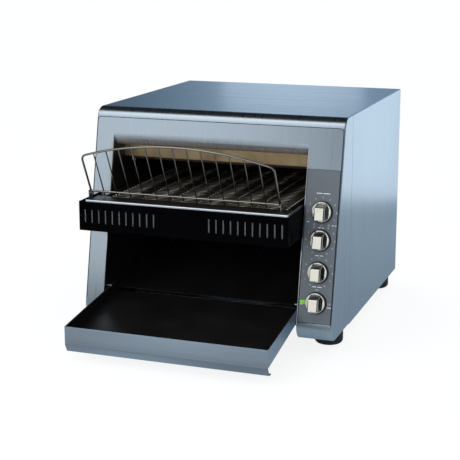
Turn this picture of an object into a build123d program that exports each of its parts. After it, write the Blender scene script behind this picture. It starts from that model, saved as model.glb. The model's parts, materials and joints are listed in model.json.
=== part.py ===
from build123d import *
import math
import os

os.makedirs("parts", exist_ok=True)

# A countertop conveyor toaster. Bread leans on a wire rack, rides a wire belt through the
# oven between two banks of heating rods, drops off the back of the belt and slides down a
# chute into the tray at the front.
# All lengths are in mm. +X is the operator's right, +Y the back, +Z up, the table is Z = 0
# and the origin is the middle of the whole footprint.

# ------------------------------------------------------------------ driving sizes
# Casing
casing_width = 490
casing_height = 400
casing_depth = 455        # from where the roof starts to bend down, to the back
foot_height = 30
foot_radius = 27
sheet = 1.2               # stainless sheet
front_tilt = 11.6         # degrees that the face leans out towards its toe
brow_bend = 23            # bend of the roof into the face
toe_bend = 28             # bend of the face into the base
edge_fold = 3             # folds along the sides
cap_depth = 33            # how far the front cap reaches back over roof and sides
seam = 0.9                # gap between front cap and wrap
tray_reach = 256          # tray front ahead of the start of the brow bend
back_reach = 8            # crumb tray grip behind the back panel

# Mouth in the face, between two posts
left_post = 37.5
right_post = 66.5
brow_drop = 71            # roof down to the mouth's ceiling
lip_bend = 20             # bend of the brow into the ceiling
lip_depth = 24            # ceiling flange, measured back from the start of the brow bend
hem = 4                   # folded edge along each post

# Feed deck in front of the mouth
deck_height = 271         # top of the guard above the table
guard_reach = 143
guard_height = 55
guard_overhang = 20.5     # how far the guard stands out past the mouth on the left
guard_inset = 1.5         # and inside it on the right
slot_width = 3
slot_height = 26
slot_pitch = 13.7
slot_count = 11           # in each of two groups
slot_margin = 12          # guard end to the first slot
shelf_inset = 14          # guard end to shelf end, on the left
shelf_back = 92           # rear edge of the shelf ahead of the brow
nose_depth = 3.4          # bright nose bar on the shelf
nose_height = 3.6
bracket_depth = 10        # blocks between guard and rails
bracket_height = 12

# Conveyor
belt_left_gap = 10        # belt edge to the mouth's left side
belt_right_gap = 26       # and to its right side
belt_pitch = 12.7
belt_teeth = 8
belt_steps = 34           # pitches along one straight run
belt_wire = 1.0           # radius
belt_drop = 4.7           # deck down to the belt's top
front_axle_reach = 68     # front axle ahead of the brow
axle_radius = 6
rail_thickness = 2
rail_gap = 4.5            # belt edge to rail
rail_height = 45
rail_nose = 40            # rail ahead of the front axle
rail_tail = 24            # and behind the rear axle
bearing_radius = 9
running_gap = 0.05        # between a shaft and its bore
rod_gap = 0.15            # between a wheel's tooth tips and the still rods or rollers round it
tooth_depth = 1.0

# Chain drive from the gearmotor
chain_pitch = 6.35
chain_teeth = 12
chain_steps = 14
chain_roller = 1.65       # radius
chain_width = 3.4         # between the link plates
chain_plate = 0.8
chain_inset = 9.6         # oven side to the chain's outer plate
gearbox_size = 60
gearbox_depth = 35
gearbox_standoff = 23.3
motor_radius = 19
motor_length = 75

# Heating
element_radius = 4
upper_element_count = 5
upper_element_drop = 30   # upper rods below the reflector
lower_element_count = 5
lower_element_lift = 7    # lower rods above the axles
element_pin = 1.5         # radius of a terminal
element_setback = 62      # first and last upper rod from the ends of the oven
reflector_drop = 7        # reflector below the mouth's ceiling
baffle_drop = 28          # heat-tinted baffle below the mouth's ceiling
baffle_back = 20          # baffle behind the start of the brow bend
insulation_height = 45

# Chute and trays
chute_slope = 12          # degrees
chute_front_drop = 191    # deck down to the chute's front edge
chute_bend = 60
rear_plenum = 51          # chute to the back of the casing
chute_slot = 90           # length of a crumb slot
chute_slot_pitch = 40
tray_rim_height = 65.4    # front rim above the table
tray_rim_slope = 7.3      # degrees, rising to the back
tray_floor_height = 32.5  # floor at the front, above the table
tray_floor_slope = 9.9
tray_rear_reach = 38      # rear end of the tray ahead of the brow
tray_side_gap = 1.2
ledge_reach = 86          # tray ledges ahead of the brow
ledge_height = 5
ledge_width = 9
rim_pin_reach = 72        # pins over the tray's rim, ahead of the brow
rim_pin_radius = 2.5
lip_height = 16.5         # folded foot of the tray's front, above the table
liner_sheet = 0.8
liner_gap = 0.1
liner_rim_drop = 2
slide_gap = 0.3
crumb_wall = 1
crumb_height = 19
crumb_side_gap = 6

# Wire rack
rack_width = 371
rack_left_inset = 5       # guard end to the rack's left upright
rack_reach = 99           # pivot ahead of the brow
rack_pivot_rise = 7       # pivot above the deck
rack_lean = 27            # degrees, forwards
rack_end_height = 86
rack_mid_height = 118
rack_frame_wire = 2.0     # radius
rack_wire = 1.25          # radius
rack_wires = 13
rack_corner = 13
eyelet_radius = 3.4
eyelet_wire = 1.3
pivot_pin = 1.8           # radius
pivot_plate = 1.5         # thickness of a pivot bracket
pivot_half = 6            # half the width of a bracket

# Controls on the right post
overlay_thickness = 0.6
overlay_left = 2          # mouth edge to overlay
overlay_right = 3         # casing side to overlay
overlay_above = 75        # overlay above the highest knob's centre
overlay_below = 37        # and below the lowest knob's centre
control_inset = 32.5      # casing side to the knobs' centre line
power_height = 103        # lowest knob above the table
lower_heat_step = 54      # each knob above the one below it
upper_heat_step = 57
speed_step = 50
knob_radius = 18.3
knob_depth = 22
knob_lift = 1.6           # knob above the face
skirt_depth = 6
skirt_rim = 2             # width of the raised rim round the skirt
skirt_dish = 1.4          # depth of the dish inside the rim
grip_width = 20
grip_low = 16.5           # foot of the grip below the knob's centre
grip_high = 7             # crown of the grip above it
grip_slope = 9            # from the crown down to the skirt
grip_round = 2.5
spindle_radius = 3
spindle_length = 16       # behind the face
bushing_radius = 4.8
switch_size = 30
switch_depth = 24
pilot_width = 10
pilot_height = 7.6
pilot_inset = 9.3         # mouth edge to the lamp's centre

# Cooling fan
fan_size = 92
fan_depth = 25
fan_bore = 43
fan_tip_gap = 1.5
fan_hub = 18
fan_blades = 7
fan_inset = 115           # casing side to the fan's centre
fan_height = 140

# Service parts
vent_length = 34
vent_height = 4
vent_drop = 60            # roof to the middle of the upper vent slots
intake_length = 60        # slots in the base
inlet_inset = 30          # casing side to the cord inlet's centre
inlet_height = 72
side_vent_inset = 135     # left casing side to the middle of the vent slots beside the fan
screw_head = 4
screw_head_depth = 2.2
screw_shank = 2
screw_length = 7
intake_setback = 180      # base slots behind the brow
terminal_width = 30
terminal_height = 18
terminal_setback = 47     # back of the casing to the terminals
board_setback = 60        # speed board behind the brow
board_rise = 18           # and above the upper rods
board_length = 70
board_height = 55
board_thickness = 1.6
board_post = 10           # oven side to the board
trim_setback = 20         # rear end of the side trim ahead of the brow
trim_height = 14
trim_rise = 5             # trim above the deck

# ------------------------------------------------------------------ places worked out
half_width = casing_width / 2
fan_x = half_width - fan_inset
inlet_x = half_width - inlet_inset
z_base = foot_height
z_roof = foot_height + casing_height
y_brow = (tray_reach - casing_depth - back_reach) / 2
y_back = y_brow + casing_depth
y_cap = y_brow + cap_depth
tilt = math.radians(front_tilt)
y_corner = y_brow - brow_bend * math.tan((math.pi / 2 - tilt) / 2)

mouth_left = -half_width + left_post
mouth_right = half_width - right_post
mouth_middle = (mouth_left + mouth_right) / 2
z_ceiling = z_roof - brow_drop
z_deck = deck_height
z_guard = z_deck - guard_height
guard_left = mouth_left - guard_overhang
guard_right = mouth_right - guard_inset
y_guard = y_brow - guard_reach
oven_back = y_back - rear_plenum

belt_right = mouth_right - belt_right_gap
belt_left = mouth_left + belt_left_gap
belt_width = belt_right - belt_left
belt_middle = (belt_left + belt_right) / 2
belt_flat = belt_pitch / (2 * math.tan(math.pi / belt_teeth))
axle_z = z_deck - belt_drop - belt_wire - belt_flat
front_axle = y_brow - front_axle_reach
rear_axle = front_axle + belt_steps * belt_pitch
rail_left = belt_left - rail_gap - rail_thickness
rail_right = belt_right + rail_gap
rail_front = front_axle - rail_nose
rail_back = rear_axle + rail_tail
rail_bottom = z_deck - rail_height

chain_x = mouth_right + sheet + chain_inset + chain_plate + chain_width / 2
motor_z = axle_z - chain_steps * chain_pitch
gearbox_x = mouth_right + sheet + gearbox_standoff

y_tray = y_brow - tray_reach
tray_back = y_brow - tray_rear_reach
tray_left = mouth_left + tray_side_gap
tray_right = mouth_right - tray_side_gap
reflector_height = z_ceiling - reflector_drop
upper_element_height = reflector_height - upper_element_drop
lower_element_height = axle_z + lower_element_lift

control_x = half_width - control_inset
lower_heat_height = power_height + lower_heat_step
upper_heat_height = lower_heat_height + upper_heat_step
speed_height = upper_heat_height + speed_step
overlay_top = speed_height + overlay_above
overlay_bottom = power_height - overlay_below
ring_thickness = 0.8


def face_y(z):
    """Y of the leaning face's outside at a height."""
    return y_corner - (z_roof - z) * math.tan(tilt)


def tray_floor_z(y):
    """Underside of the tray's floor at a depth."""
    return tray_floor_height + (y - y_tray) * math.tan(math.radians(tray_floor_slope))


def tray_rim_z(y):
    """Top of the tray's side walls at a depth."""
    return tray_rim_height + (y - y_tray) * math.tan(math.radians(tray_rim_slope))


# ------------------------------------------------------------------ shared shapes
def block(x0, x1, y0, y1, z0, z1):
    """A box between two corners."""
    return Pos((x0 + x1) / 2, (y0 + y1) / 2, (z0 + z1) / 2) * Box(x1 - x0, y1 - y0, z1 - z0)


def rod_x(radius, x0, x1, y, z):
    """A round bar along X."""
    bar = Cylinder(radius, x1 - x0, align=(Align.CENTER, Align.CENTER, Align.MIN))
    return Pos(x0, y, z) * Rot(0, 90, 0) * bar


def rod_y(radius, x, y0, y1, z):
    """A round bar along Y."""
    bar = Cylinder(radius, y1 - y0, align=(Align.CENTER, Align.CENTER, Align.MIN))
    return Pos(x, y0, z) * Rot(-90, 0, 0) * bar


def rod_z(radius, x, y, z0, z1):
    """A round bar along Z."""
    return Pos(x, y, z0) * Cylinder(radius, z1 - z0, align=(Align.CENTER, Align.CENTER, Align.MIN))


def across(face, x0, x1):
    """A face drawn in the YZ plane, made solid from one X to another."""
    return Pos(x0, 0, 0) * extrude(Plane.YZ * face, amount=x1 - x0, dir=(1, 0, 0))


def plate(points, x0, x1):
    """A flat plate with straight edges, standing in the YZ plane."""
    return across(make_face(Polyline(*points, close=True)), x0, x1)


def folded_sheet(points, radii, x0, x1, thickness=sheet):
    """Sheet folded along a path in the YZ plane; the metal lies to the left of the path."""
    path = FilletPolyline(*points, radius=radii)
    outline = offset(path, amount=thickness, side=Side.LEFT, closed=True)
    return across(make_face(outline.edges()), x0, x1)


def slot_cutters(place, slots, reach=3 * sheet):
    """Cutters to both sides of a plane, from slots drawn in the plane."""
    return extrude(place * (Sketch() + slots), amount=reach, both=True)


def on_face(x, z):
    """A plane on the leaning face: local X right, local Y up the face, local Z outwards."""
    normal = (0, -math.cos(tilt), math.sin(tilt))
    return Plane(origin=(x, face_y(z), z), x_dir=(1, 0, 0), z_dir=normal)


def loop_points(pitch, teeth, steps):
    """Rod centres of a loop round two wheels, as distances along and across from one axle."""
    radius = pitch / (2 * math.sin(math.pi / teeth))
    flat = pitch / (2 * math.tan(math.pi / teeth))
    runs = [((i + 0.5) * pitch, side * flat) for i in range(steps) for side in (1, -1)]
    turns = []
    for i in range(teeth // 2):
        angle = math.pi / teeth * (2 * i + 1) - math.pi / 2
        turns.append((-radius * math.cos(angle), radius * math.sin(angle)))
        turns.append((steps * pitch + radius * math.cos(angle), radius * math.sin(angle)))
    return runs + turns


def loop_corners(pitch, teeth, steps, inset):
    """Corners of a line that runs round the same loop, inset from the rods' line."""
    flat = pitch / (2 * math.tan(math.pi / teeth)) - inset
    radius = flat / math.cos(math.pi / teeth)
    angles = [math.pi / teeth * (2 * i + 1) - math.pi / 2 for i in range(teeth // 2)]
    far = [(steps * pitch + radius * math.cos(a), radius * math.sin(a)) for a in angles]
    near = [(-radius * math.cos(a), radius * math.sin(a)) for a in reversed(angles)]
    return far + near


def toothed_wheel(pitch, teeth, roller, thickness, hub, hub_length, bore):
    """A wheel on the X axis whose tooth tips carry the rods of its loop, and a hub.

    The tips end just inside the rods, so that the wheel turns freely in a still loop.
    """
    radius = pitch / (2 * math.sin(math.pi / teeth))
    disc = Circle(radius - roller - rod_gap)
    disc -= PolarLocations(radius, teeth) * Circle(roller + rod_gap + tooth_depth)
    wheel = extrude(Plane.YZ * disc, amount=thickness / 2, both=True)
    wheel += rod_x(hub, -hub_length / 2, hub_length / 2, 0, 0)
    return wheel - rod_x(bore, -hub_length, hub_length, 0, 0)


# ------------------------------------------------------------------ casing
def cap_outline():
    """Side view of the front cap: roof, leaning face and base with their two bends."""
    path = FilletPolyline(
        (y_cap, z_roof), (y_corner, z_roof), (face_y(z_base), z_base), (y_cap, z_base),
        radius=[brow_bend, toe_bend])
    return make_face([*path.edges(), Line(path @ 1, path @ 0)])


def front_cap():
    """One welded shell: top strip, face with its mouth, cheeks and toes."""
    body = extrude(Plane.YZ * cap_outline(), amount=half_width, both=True)
    side_edges = body.edges().filter_by(
        lambda e: abs(abs(e.center().X) - half_width) < 0.01 and e.center().Y < y_cap - 0.01)
    body = fillet(side_edges, edge_fold)
    shell = offset(body, amount=-sheet, openings=[body.faces().sort_by(Axis.Y)[-1]])
    bend_run = lip_bend * math.tan((math.pi / 2 + tilt) / 2) * math.cos(tilt)
    z_cut = z_ceiling + bend_run + edge_fold
    shell -= block(mouth_left, mouth_right, y_brow - guard_reach, y_cap + sheet, 0, z_cut)
    z_join = z_cut + sheet
    lip = [(face_y(z_join), z_join), (face_y(z_ceiling), z_ceiling), (y_brow + lip_depth, z_ceiling)]
    shell += folded_sheet(lip, lip_bend, mouth_left, mouth_right)
    edge = [(face_y(z_cut), z_cut), (face_y(z_base), z_base), (y_cap, z_base)]
    shell += folded_sheet(edge, toe_bend, mouth_left - sheet, mouth_left, thickness=hem)
    shell += folded_sheet(edge, toe_bend, mouth_right, mouth_right + sheet, thickness=hem)
    for height in (speed_height, upper_heat_height, lower_heat_height, power_height):
        shell -= on_face(control_x, height) * Cylinder(bushing_radius + 0.2, 6 * sheet)
    window = Box(pilot_width + 0.4, pilot_height + 0.4, 6 * sheet)
    shell -= on_face(mouth_right + pilot_inset, power_height) * window
    return shell


def casing_wrap():
    """Roof and both sides, bent from one sheet."""
    y0 = y_cap + seam
    body = block(-half_width, half_width, y0, y_back, z_base, z_roof)
    top_edges = body.edges().filter_by(Axis.Y).filter_by(lambda e: e.center().Z > z_roof - 1)
    body = fillet(top_edges, edge_fold)
    ends = [body.faces().sort_by(Axis.Y)[0], body.faces().sort_by(Axis.Y)[-1]]
    return offset(body, amount=-sheet, openings=[*ends, body.faces().sort_by(Axis.Z)[0]])


def vent_slots(x, z, columns, rows):
    """Cutters for a block of level vent slots in the back panel."""
    slots = GridLocations(vent_length + 12, vent_height + 7, columns, rows) * SlotOverall(vent_length, vent_height)
    return slot_cutters(Plane(origin=(x, y_back, z), x_dir=(1, 0, 0), z_dir=(0, -1, 0)), slots)


def screw_places():
    """Screws round the edge of the back panel and in the fan's corners."""
    rows = (z_base + 24, (z_base + z_roof) / 2, z_roof - 18)
    sides = [(side * (half_width - 14), z) for side in (-1, 1) for z in rows]
    top = [(side * half_width / 3, z_roof - 18) for side in (-1, 1)]
    reach = fan_size / 2 - 5
    return sides + top + [(fan_x + a * reach, fan_height + b * reach) for a in (-1, 1) for b in (-1, 1)]


def crumb_sides():
    return mouth_left + crumb_side_gap, mouth_right - crumb_side_gap


def back_panel():
    """Flat panel with vents, the fan's bore, the crumb tray's slot and the cord hole."""
    inner = half_width - sheet
    shape = block(-inner, inner, y_back - sheet, y_back, z_base, z_roof - sheet)
    shape = fillet(shape.edges().filter_by(Axis.Y).group_by(Axis.Z)[-1], edge_fold)
    shape -= rod_y(fan_bore, fan_x, y_back - 3 * sheet, y_back + sheet, fan_height)
    x0, x1 = crumb_sides()
    z_slot = z_base + sheet + crumb_height + 1.2
    shape -= block(x0 - 1, x1 + 1, y_back - 3 * sheet, y_back + sheet, z_base - 1, z_slot)
    shape -= rod_y(10.6, inlet_x, y_back - 3 * sheet, y_back + sheet, inlet_height)
    shape -= vent_slots(mouth_middle, z_roof - vent_drop, 8, 4)
    shape -= vent_slots(side_vent_inset - half_width, fan_height, 3, 6)
    for x, z in screw_places():
        shape -= rod_y(screw_shank + 0.1, x, y_back - 3 * sheet, y_back + sheet, z)
    return shape


def back_screws():
    """Round-headed screws through the back panel."""
    screws = []
    for x, z in screw_places():
        y_head = y_back + screw_head_depth
        head = rod_y(screw_head, x, y_back, y_head, z)
        head = fillet(head.faces().sort_by(Axis.Y)[-1].edges(), screw_head_depth / 2)
        head -= block(x - 2.6, x + 2.6, y_head - 0.8, y_head + 1, z - 0.4, z + 0.4)
        screws.append(head + rod_y(screw_shank, x, y_back - screw_length, y_back, z))
    return Compound(screws)


def base_pan():
    """Floor of the casing, with intake slots under the control bay."""
    inner = half_width - sheet
    pan = block(-inner, inner, y_cap, y_back - sheet, z_base, z_base + sheet)
    slots = GridLocations(9, 0, 5, 1) * SlotOverall(intake_length, vent_height, rotation=90)
    return pan - slot_cutters(Plane(origin=(control_x, y_brow + intake_setback, z_base)), slots)


def feet():
    """Four rubber feet with rounded treads."""
    foot = Cylinder(foot_radius, foot_height, align=(Align.CENTER, Align.CENTER, Align.MIN))
    foot = fillet(foot.edges().sort_by(Axis.Z)[0], 8)
    foot -= Cylinder(foot_radius / 3, 4, align=(Align.CENTER, Align.CENTER, Align.MIN))
    x = half_width - foot_radius - 5
    front = y_brow + 8
    rear = y_back - foot_radius - 23
    return Compound([Pos(side * x, y, 0) * foot for side in (-1, 1) for y in (front, rear)])


# ------------------------------------------------------------------ oven
def upper_element_places():
    first = y_brow + element_setback
    step = (oven_back - element_setback - first) / (upper_element_count - 1)
    return [first + i * step for i in range(upper_element_count)]


def lower_element_places():
    first = y_brow + 8
    step = (rear_axle - 42 - first) / (lower_element_count - 1)
    return [first + i * step for i in range(lower_element_count)]


def tie_places():
    """Depths of the two bars that carry the conveyor, midway between lower elements."""
    places = lower_element_places()
    return (places[0] + places[1]) / 2, (places[-2] + places[-1]) / 2


tie_radius = 4
tie_z = axle_z - 4
z_oven_top = reflector_height + sheet + insulation_height
element_bushing = 8
rear_axle_hole = 8


def oven_side(x0, x1):
    """Black side wall of the oven, from the post back to the chute."""
    setback = (hem + 0.1) / math.cos(tilt)
    path = FilletPolyline(
        (oven_back + 4, z_oven_top), (face_y(z_oven_top) + setback, z_oven_top),
        (face_y(z_base + hem) + setback, z_base + hem), (oven_back + 4, z_base + hem),
        radius=[sheet, toe_bend - hem])
    wall = across(make_face([*path.edges(), Line(path @ 1, path @ 0)]), x0, x1)
    wall += block(x0, x1, y_cap, oven_back + 4, z_base + sheet, z_base + hem)
    for y in upper_element_places():
        wall -= rod_x(element_bushing + running_gap, x0 - 1, x1 + 1, y, upper_element_height)
    for y in lower_element_places():
        wall -= rod_x(element_bushing + running_gap, x0 - 1, x1 + 1, y, lower_element_height)
    return wall


def oven_side_left():
    return oven_side(mouth_left - sheet, mouth_left)


def oven_side_right():
    wall = oven_side(mouth_right, mouth_right + sheet)
    return wall - rod_x(rear_axle_hole, mouth_right - 1, mouth_right + 2 * sheet, rear_axle, axle_z)


def upper_reflector():
    """Oven roof that throws the heat down."""
    y0 = y_brow + baffle_back + sheet
    return block(mouth_left, mouth_right, y0, oven_back, reflector_height, reflector_height + sheet)


def feed_baffle():
    """Plate hanging from the mouth's ceiling that sets how tall a slice can pass."""
    y0 = y_brow + baffle_back
    return block(mouth_left, mouth_right, y0, y0 + sheet, z_ceiling - baffle_drop, z_ceiling)


def lower_reflector():
    """Sheet between the two runs of the belt, under the lower elements and the ties."""
    top = tie_z - tie_radius
    x0 = rail_left + rail_thickness
    return block(x0, rail_right, y_brow, rear_axle - 30, top - sheet, top)


def toast_chute():
    """Toast drops down its back wall and slides forwards; crumbs fall through its slots."""
    slope = math.tan(math.radians(chute_slope))
    y_front = tray_back + 2
    z_front = z_deck - chute_front_drop
    z_rear = z_front + (oven_back - y_front) * slope
    path = [(oven_back, reflector_height + 5), (oven_back, z_rear), (y_front, z_front)]
    chute = folded_sheet(path, chute_bend, mouth_left, mouth_right)
    y_slots = (y_brow + oven_back) / 2
    slots = GridLocations(chute_slot_pitch, 0, 9, 1) * SlotOverall(chute_slot, vent_height, rotation=90)
    middle = Plane(origin=(mouth_middle, y_slots, z_front + (y_slots - y_front) * slope))
    return chute - slot_cutters(middle, slots, reach=25)


def insulation_pad():
    """Mineral wool over the oven roof."""
    z0 = reflector_height + sheet
    y0 = y_brow + lip_depth + 4
    pad = block(mouth_left, mouth_right, y0, oven_back, z0, z0 + insulation_height)
    return fillet(pad.edges().filter_by(Axis.X).group_by(Axis.Z)[-1], 8)


def element(y, z):
    """A sheathed heating rod with a terminal pin at each end."""
    rod = rod_x(element_radius, mouth_left - 14, mouth_right + 14, y, z)
    return rod + rod_x(element_pin, mouth_left - 24, mouth_right + 24, y, z)


def upper_elements():
    return Compound([element(y, upper_element_height) for y in upper_element_places()])


def lower_elements():
    return Compound([element(y, lower_element_height) for y in lower_element_places()])


def element_bushings():
    """Ceramic bushings that hold the rods in the oven's sides."""
    places = [(y, upper_element_height) for y in upper_element_places()]
    places += [(y, lower_element_height) for y in lower_element_places()]
    rings = []
    for y, z in places:
        for x0 in (mouth_left - 8, mouth_right - 2):
            ring = rod_x(element_bushing, x0, x0 + 10, y, z)
            rings.append(ring - rod_x(element_radius + running_gap, x0 - 1, x0 + 11, y, z))
    return Compound(rings)


# ------------------------------------------------------------------ conveyor
def conveyor_rail(x0):
    """Side rail of the conveyor with holes for its axles, ties and lower elements."""
    x1 = x0 + rail_thickness
    rail = block(x0, x1, rail_front, rail_back, rail_bottom, z_deck)
    for y in (front_axle, rear_axle):
        rail -= rod_x(bearing_radius + 0.02, x0 - 1, x1 + 1, y, axle_z)
    for y in tie_places():
        rail -= rod_x(tie_radius + 0.02, x0 - 1, x1 + 1, y, tie_z)
    for y in lower_element_places():
        rail -= rod_x(element_radius + 0.5, x0 - 1, x1 + 1, y, lower_element_height)
    return rail


def conveyor_ties():
    """Bars across the oven that carry the rails."""
    return Compound([rod_x(tie_radius, mouth_left, mouth_right, y, tie_z) for y in tie_places()])


def shaft_bearings():
    """Flanged bushings in the rails."""
    bearings = []
    for y in (front_axle, rear_axle):
        for x0, outwards in ((rail_left, -1), (rail_right, 1)):
            x1 = x0 + rail_thickness
            outer = x0 if outwards < 0 else x1
            flange = sorted((outer, outer + outwards * 1.5))
            ring = rod_x(bearing_radius, x0, x1, y, axle_z) + rod_x(bearing_radius + 2.5, *flange, y, axle_z)
            bearings.append(ring - rod_x(axle_radius + running_gap, x0 - 3, x1 + 3, y, axle_z))
    return Compound(bearings)


def axle(y, x1):
    """Round axle through both rails, with chamfered ends."""
    return chamfer(rod_x(axle_radius, rail_left - 1.5, x1, y, axle_z).edges().filter_by(GeomType.CIRCLE), 0.8)


def drive_shaft():
    return axle(rear_axle, chain_x + 6)


def idler_shaft():
    return axle(front_axle, rail_right + rail_thickness + 1.5)


def belt_sprockets(y):
    """Three toothed wheels that carry the belt on one axle."""
    wheel = toothed_wheel(belt_pitch, belt_teeth, belt_wire, 5, 11, 16, axle_radius + 0.02)
    spread = belt_width * 0.36
    return Compound([Pos(belt_middle + k * spread, y, axle_z) * wheel for k in (-1, 0, 1)])


def drive_sprockets():
    return belt_sprockets(rear_axle)


def idler_sprockets():
    return belt_sprockets(front_axle)


def ring_strip(pitch, teeth, steps, outer, inner):
    """The band between two lines that run round a loop."""
    band = make_face(Polyline(*loop_corners(pitch, teeth, steps, outer), close=True))
    return band - make_face(Polyline(*loop_corners(pitch, teeth, steps, inner), close=True))


def conveyor_belt():
    """Cross wires of the belt, on strips that run round inside them."""
    wire = rod_x(belt_wire, belt_left, belt_right, 0, 0)
    points = loop_points(belt_pitch, belt_teeth, belt_steps)
    wires = [Pos(0, front_axle + along, axle_z + side) * wire for along, side in points]
    outer = belt_wire + 0.02
    band = ring_strip(belt_pitch, belt_teeth, belt_steps, outer, outer + ring_thickness)
    strip = Pos(0, front_axle, axle_z) * across(band, -1.5, 1.5)
    places = [belt_middle + k * belt_width for k in (-0.47, -0.26, -0.12, 0.12, 0.26, 0.47)]
    return Compound(wires + [Pos(x, 0, 0) * strip for x in places])


def chain_wheel():
    """Driven sprocket on the end of the drive shaft."""
    wheel = toothed_wheel(
        chain_pitch, chain_teeth, chain_roller, chain_width - 0.4, 9, 7, axle_radius + 0.02)
    return Pos(chain_x, rear_axle, axle_z) * wheel


def motor_sprocket():
    """Driving sprocket in one piece with the gearbox's output shaft."""
    wheel = toothed_wheel(chain_pitch, chain_teeth, chain_roller, chain_width - 0.4, 7, 7, 4)
    wheel = Pos(chain_x, rear_axle, motor_z) * wheel
    return wheel + rod_x(4, chain_x - 5, gearbox_x + 18, rear_axle, motor_z)


def drive_chain():
    """Roller chain: rollers between two loops of link plates."""
    x0 = chain_x - chain_width / 2
    roller = rod_x(chain_roller, x0, x0 + chain_width, 0, 0)
    points = loop_points(chain_pitch, chain_teeth, chain_steps)
    rollers = [Pos(0, rear_axle + side, motor_z + along) * roller for along, side in points]
    band = ring_strip(chain_pitch, chain_teeth, chain_steps, -2.6, 2.6)
    upright = Pos(0, rear_axle, motor_z) * Rot(90, 0, 0) * across(band, 0, chain_plate)
    plates = [Pos(x0 - chain_plate, 0, 0) * upright, Pos(x0 + chain_width, 0, 0) * upright]
    return Compound(rollers + plates)


def gearbox():
    """Right-angle gear head with a bore for the output shaft."""
    half = gearbox_size / 2
    x1 = gearbox_x + gearbox_depth
    case = block(gearbox_x, x1, rear_axle - half, rear_axle + half, motor_z - half, motor_z + half)
    case = fillet(case.edges().filter_by(Axis.X), 5)
    return case - rod_x(4 + running_gap, gearbox_x - 1, gearbox_x + 20, rear_axle, motor_z)


def drive_motor():
    """Motor can on the front of the gear head, with cooling ribs."""
    x = gearbox_x + gearbox_depth / 2
    y1 = rear_axle - gearbox_size / 2
    can = rod_y(motor_radius - 2, x, y1 - motor_length, y1, motor_z)
    for i in range(8):
        y = y1 - 8 - i * (motor_length - 14) / 8
        can += rod_y(motor_radius, x, y - 3, y, motor_z)
    return can


def motor_standoffs():
    """Four spacers from the oven's side to the gear head."""
    reach = gearbox_size / 2 - 7
    x0 = mouth_right + sheet
    return Compound([
        rod_x(4, x0, gearbox_x, rear_axle + a * reach, motor_z + b * reach) for a in (-1, 1) for b in (-1, 1)])


# ------------------------------------------------------------------ fan and service parts
def fan_frame():
    """Square fan housing on the back panel, with struts to its motor."""
    half = fan_size / 2
    y1 = y_back - sheet
    y0 = y1 - fan_depth
    frame = block(fan_x - half, fan_x + half, y0, y1, fan_height - half, fan_height + half)
    frame = fillet(frame.edges().filter_by(Axis.Y), 6)
    frame -= rod_y(fan_bore, fan_x, y0 - 1, y1 + 1, fan_height)
    strut = Box(2 * fan_bore + 4, 3, 4)
    middle = (y0 + 1.5)
    frame += Pos(fan_x, middle, fan_height) * strut
    frame += Pos(fan_x, middle, fan_height) * Rot(0, 90, 0) * strut
    frame += rod_y(fan_hub, fan_x, y0, y0 + 4, fan_height)
    for x, z in screw_places()[-4:]:
        frame -= rod_y(screw_shank + 0.1, x, y0 - 1, y1 + 1, z)
    return frame - rod_y(3 + running_gap, fan_x, y0 - 1, y0 + 5, fan_height)


def fan_rotor():
    """Hub, pitched blades and a stub axle."""
    y0 = y_back - sheet - fan_depth + 4.6
    depth = fan_depth - 8
    hub = Cylinder(fan_hub, depth, align=(Align.CENTER, Align.CENTER, Align.MIN))
    blade = Pos((fan_hub + fan_bore) / 2 - 2, 0, depth / 2) * Rot(38, 0, 0) * Box(fan_bore - fan_hub, 1.4, 20)
    blades = [Rot(0, 0, i * 360 / fan_blades) * blade for i in range(fan_blades)]
    inside = Cylinder(fan_bore - fan_tip_gap, depth, align=(Align.CENTER, Align.CENTER, Align.MIN))
    rotor = (hub + blades) & inside
    rotor += Pos(0, 0, -4.4) * Cylinder(3, 5, align=(Align.CENTER, Align.CENTER, Align.MIN))
    return Pos(fan_x, y0, fan_height) * Rot(-90, 0, 0) * rotor


def fan_guard():
    """Finger guard outside the fan's bore: rings on two crossed wires that lie on the panel."""
    wire = 0.9
    spoke = Pos(0, 0, wire) * Rot(0, 90, 0) * Cylinder(wire, 2 * fan_bore + 10)
    guard = Rot(0, 0, 45) * spoke + Rot(0, 0, 135) * spoke
    for radius in (14, 24, 34, fan_bore + 1):
        guard += Pos(0, 0, 2.5 * wire) * Torus(radius, wire)
    return Pos(fan_x, y_back, fan_height) * Rot(-90, 0, 0) * guard


def speed_board():
    """Motor speed circuit on two posts, with its heat sink and parts."""
    x0 = mouth_right + sheet
    x1 = x0 + board_post
    x2 = x1 + board_thickness
    y0 = y_brow + board_setback
    y1 = y0 + board_length
    z0 = upper_element_height + board_rise
    z1 = z0 + board_height
    board = block(x1, x2, y0, y1, z0, z1)
    board += block(x2, x2 + 1.4 * board_post, y0 + 6, y0 + board_length / 3, z0 + 8, z1 - 9)
    board += rod_x(board_height / 9, x2, x2 + 1.8 * board_post, y0 + board_length / 2, z0 + board_height / 3)
    board += block(x2, x2 + board_post, y1 - board_length / 3, y1 - 8, z0 + board_height / 2, z1 - 9)
    for z in (z0 + 6, z1 - 6):
        board += rod_x(3, x0, x1, y0 + board_length / 2, z)
    return board


def terminal_block():
    """Mains terminals on the base, in front of the cord inlet."""
    z0 = z_base + sheet
    z1 = z0 + terminal_height
    y = y_back - terminal_setback
    half = terminal_width / 2
    body = block(control_x - half, control_x + half, y - half, y + half, z0, z1)
    for side in (-1, 0, 1):
        body -= rod_z(half / 5, control_x + side * half * 2 / 3, y, z0 + terminal_height / 2, z1 + 1)
    return body


def cord_inlet():
    """Plastic bushing where the supply cord enters."""
    ring = rod_y(15, inlet_x, y_back, y_back + 4, inlet_height)
    ring = fillet(ring.faces().sort_by(Axis.Y)[-1].edges(), 1.5)
    ring += rod_y(10.5, inlet_x, y_back - 9, y_back, inlet_height)
    return ring - rod_y(6, inlet_x, y_back - 10, y_back + 5, inlet_height)


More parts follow.
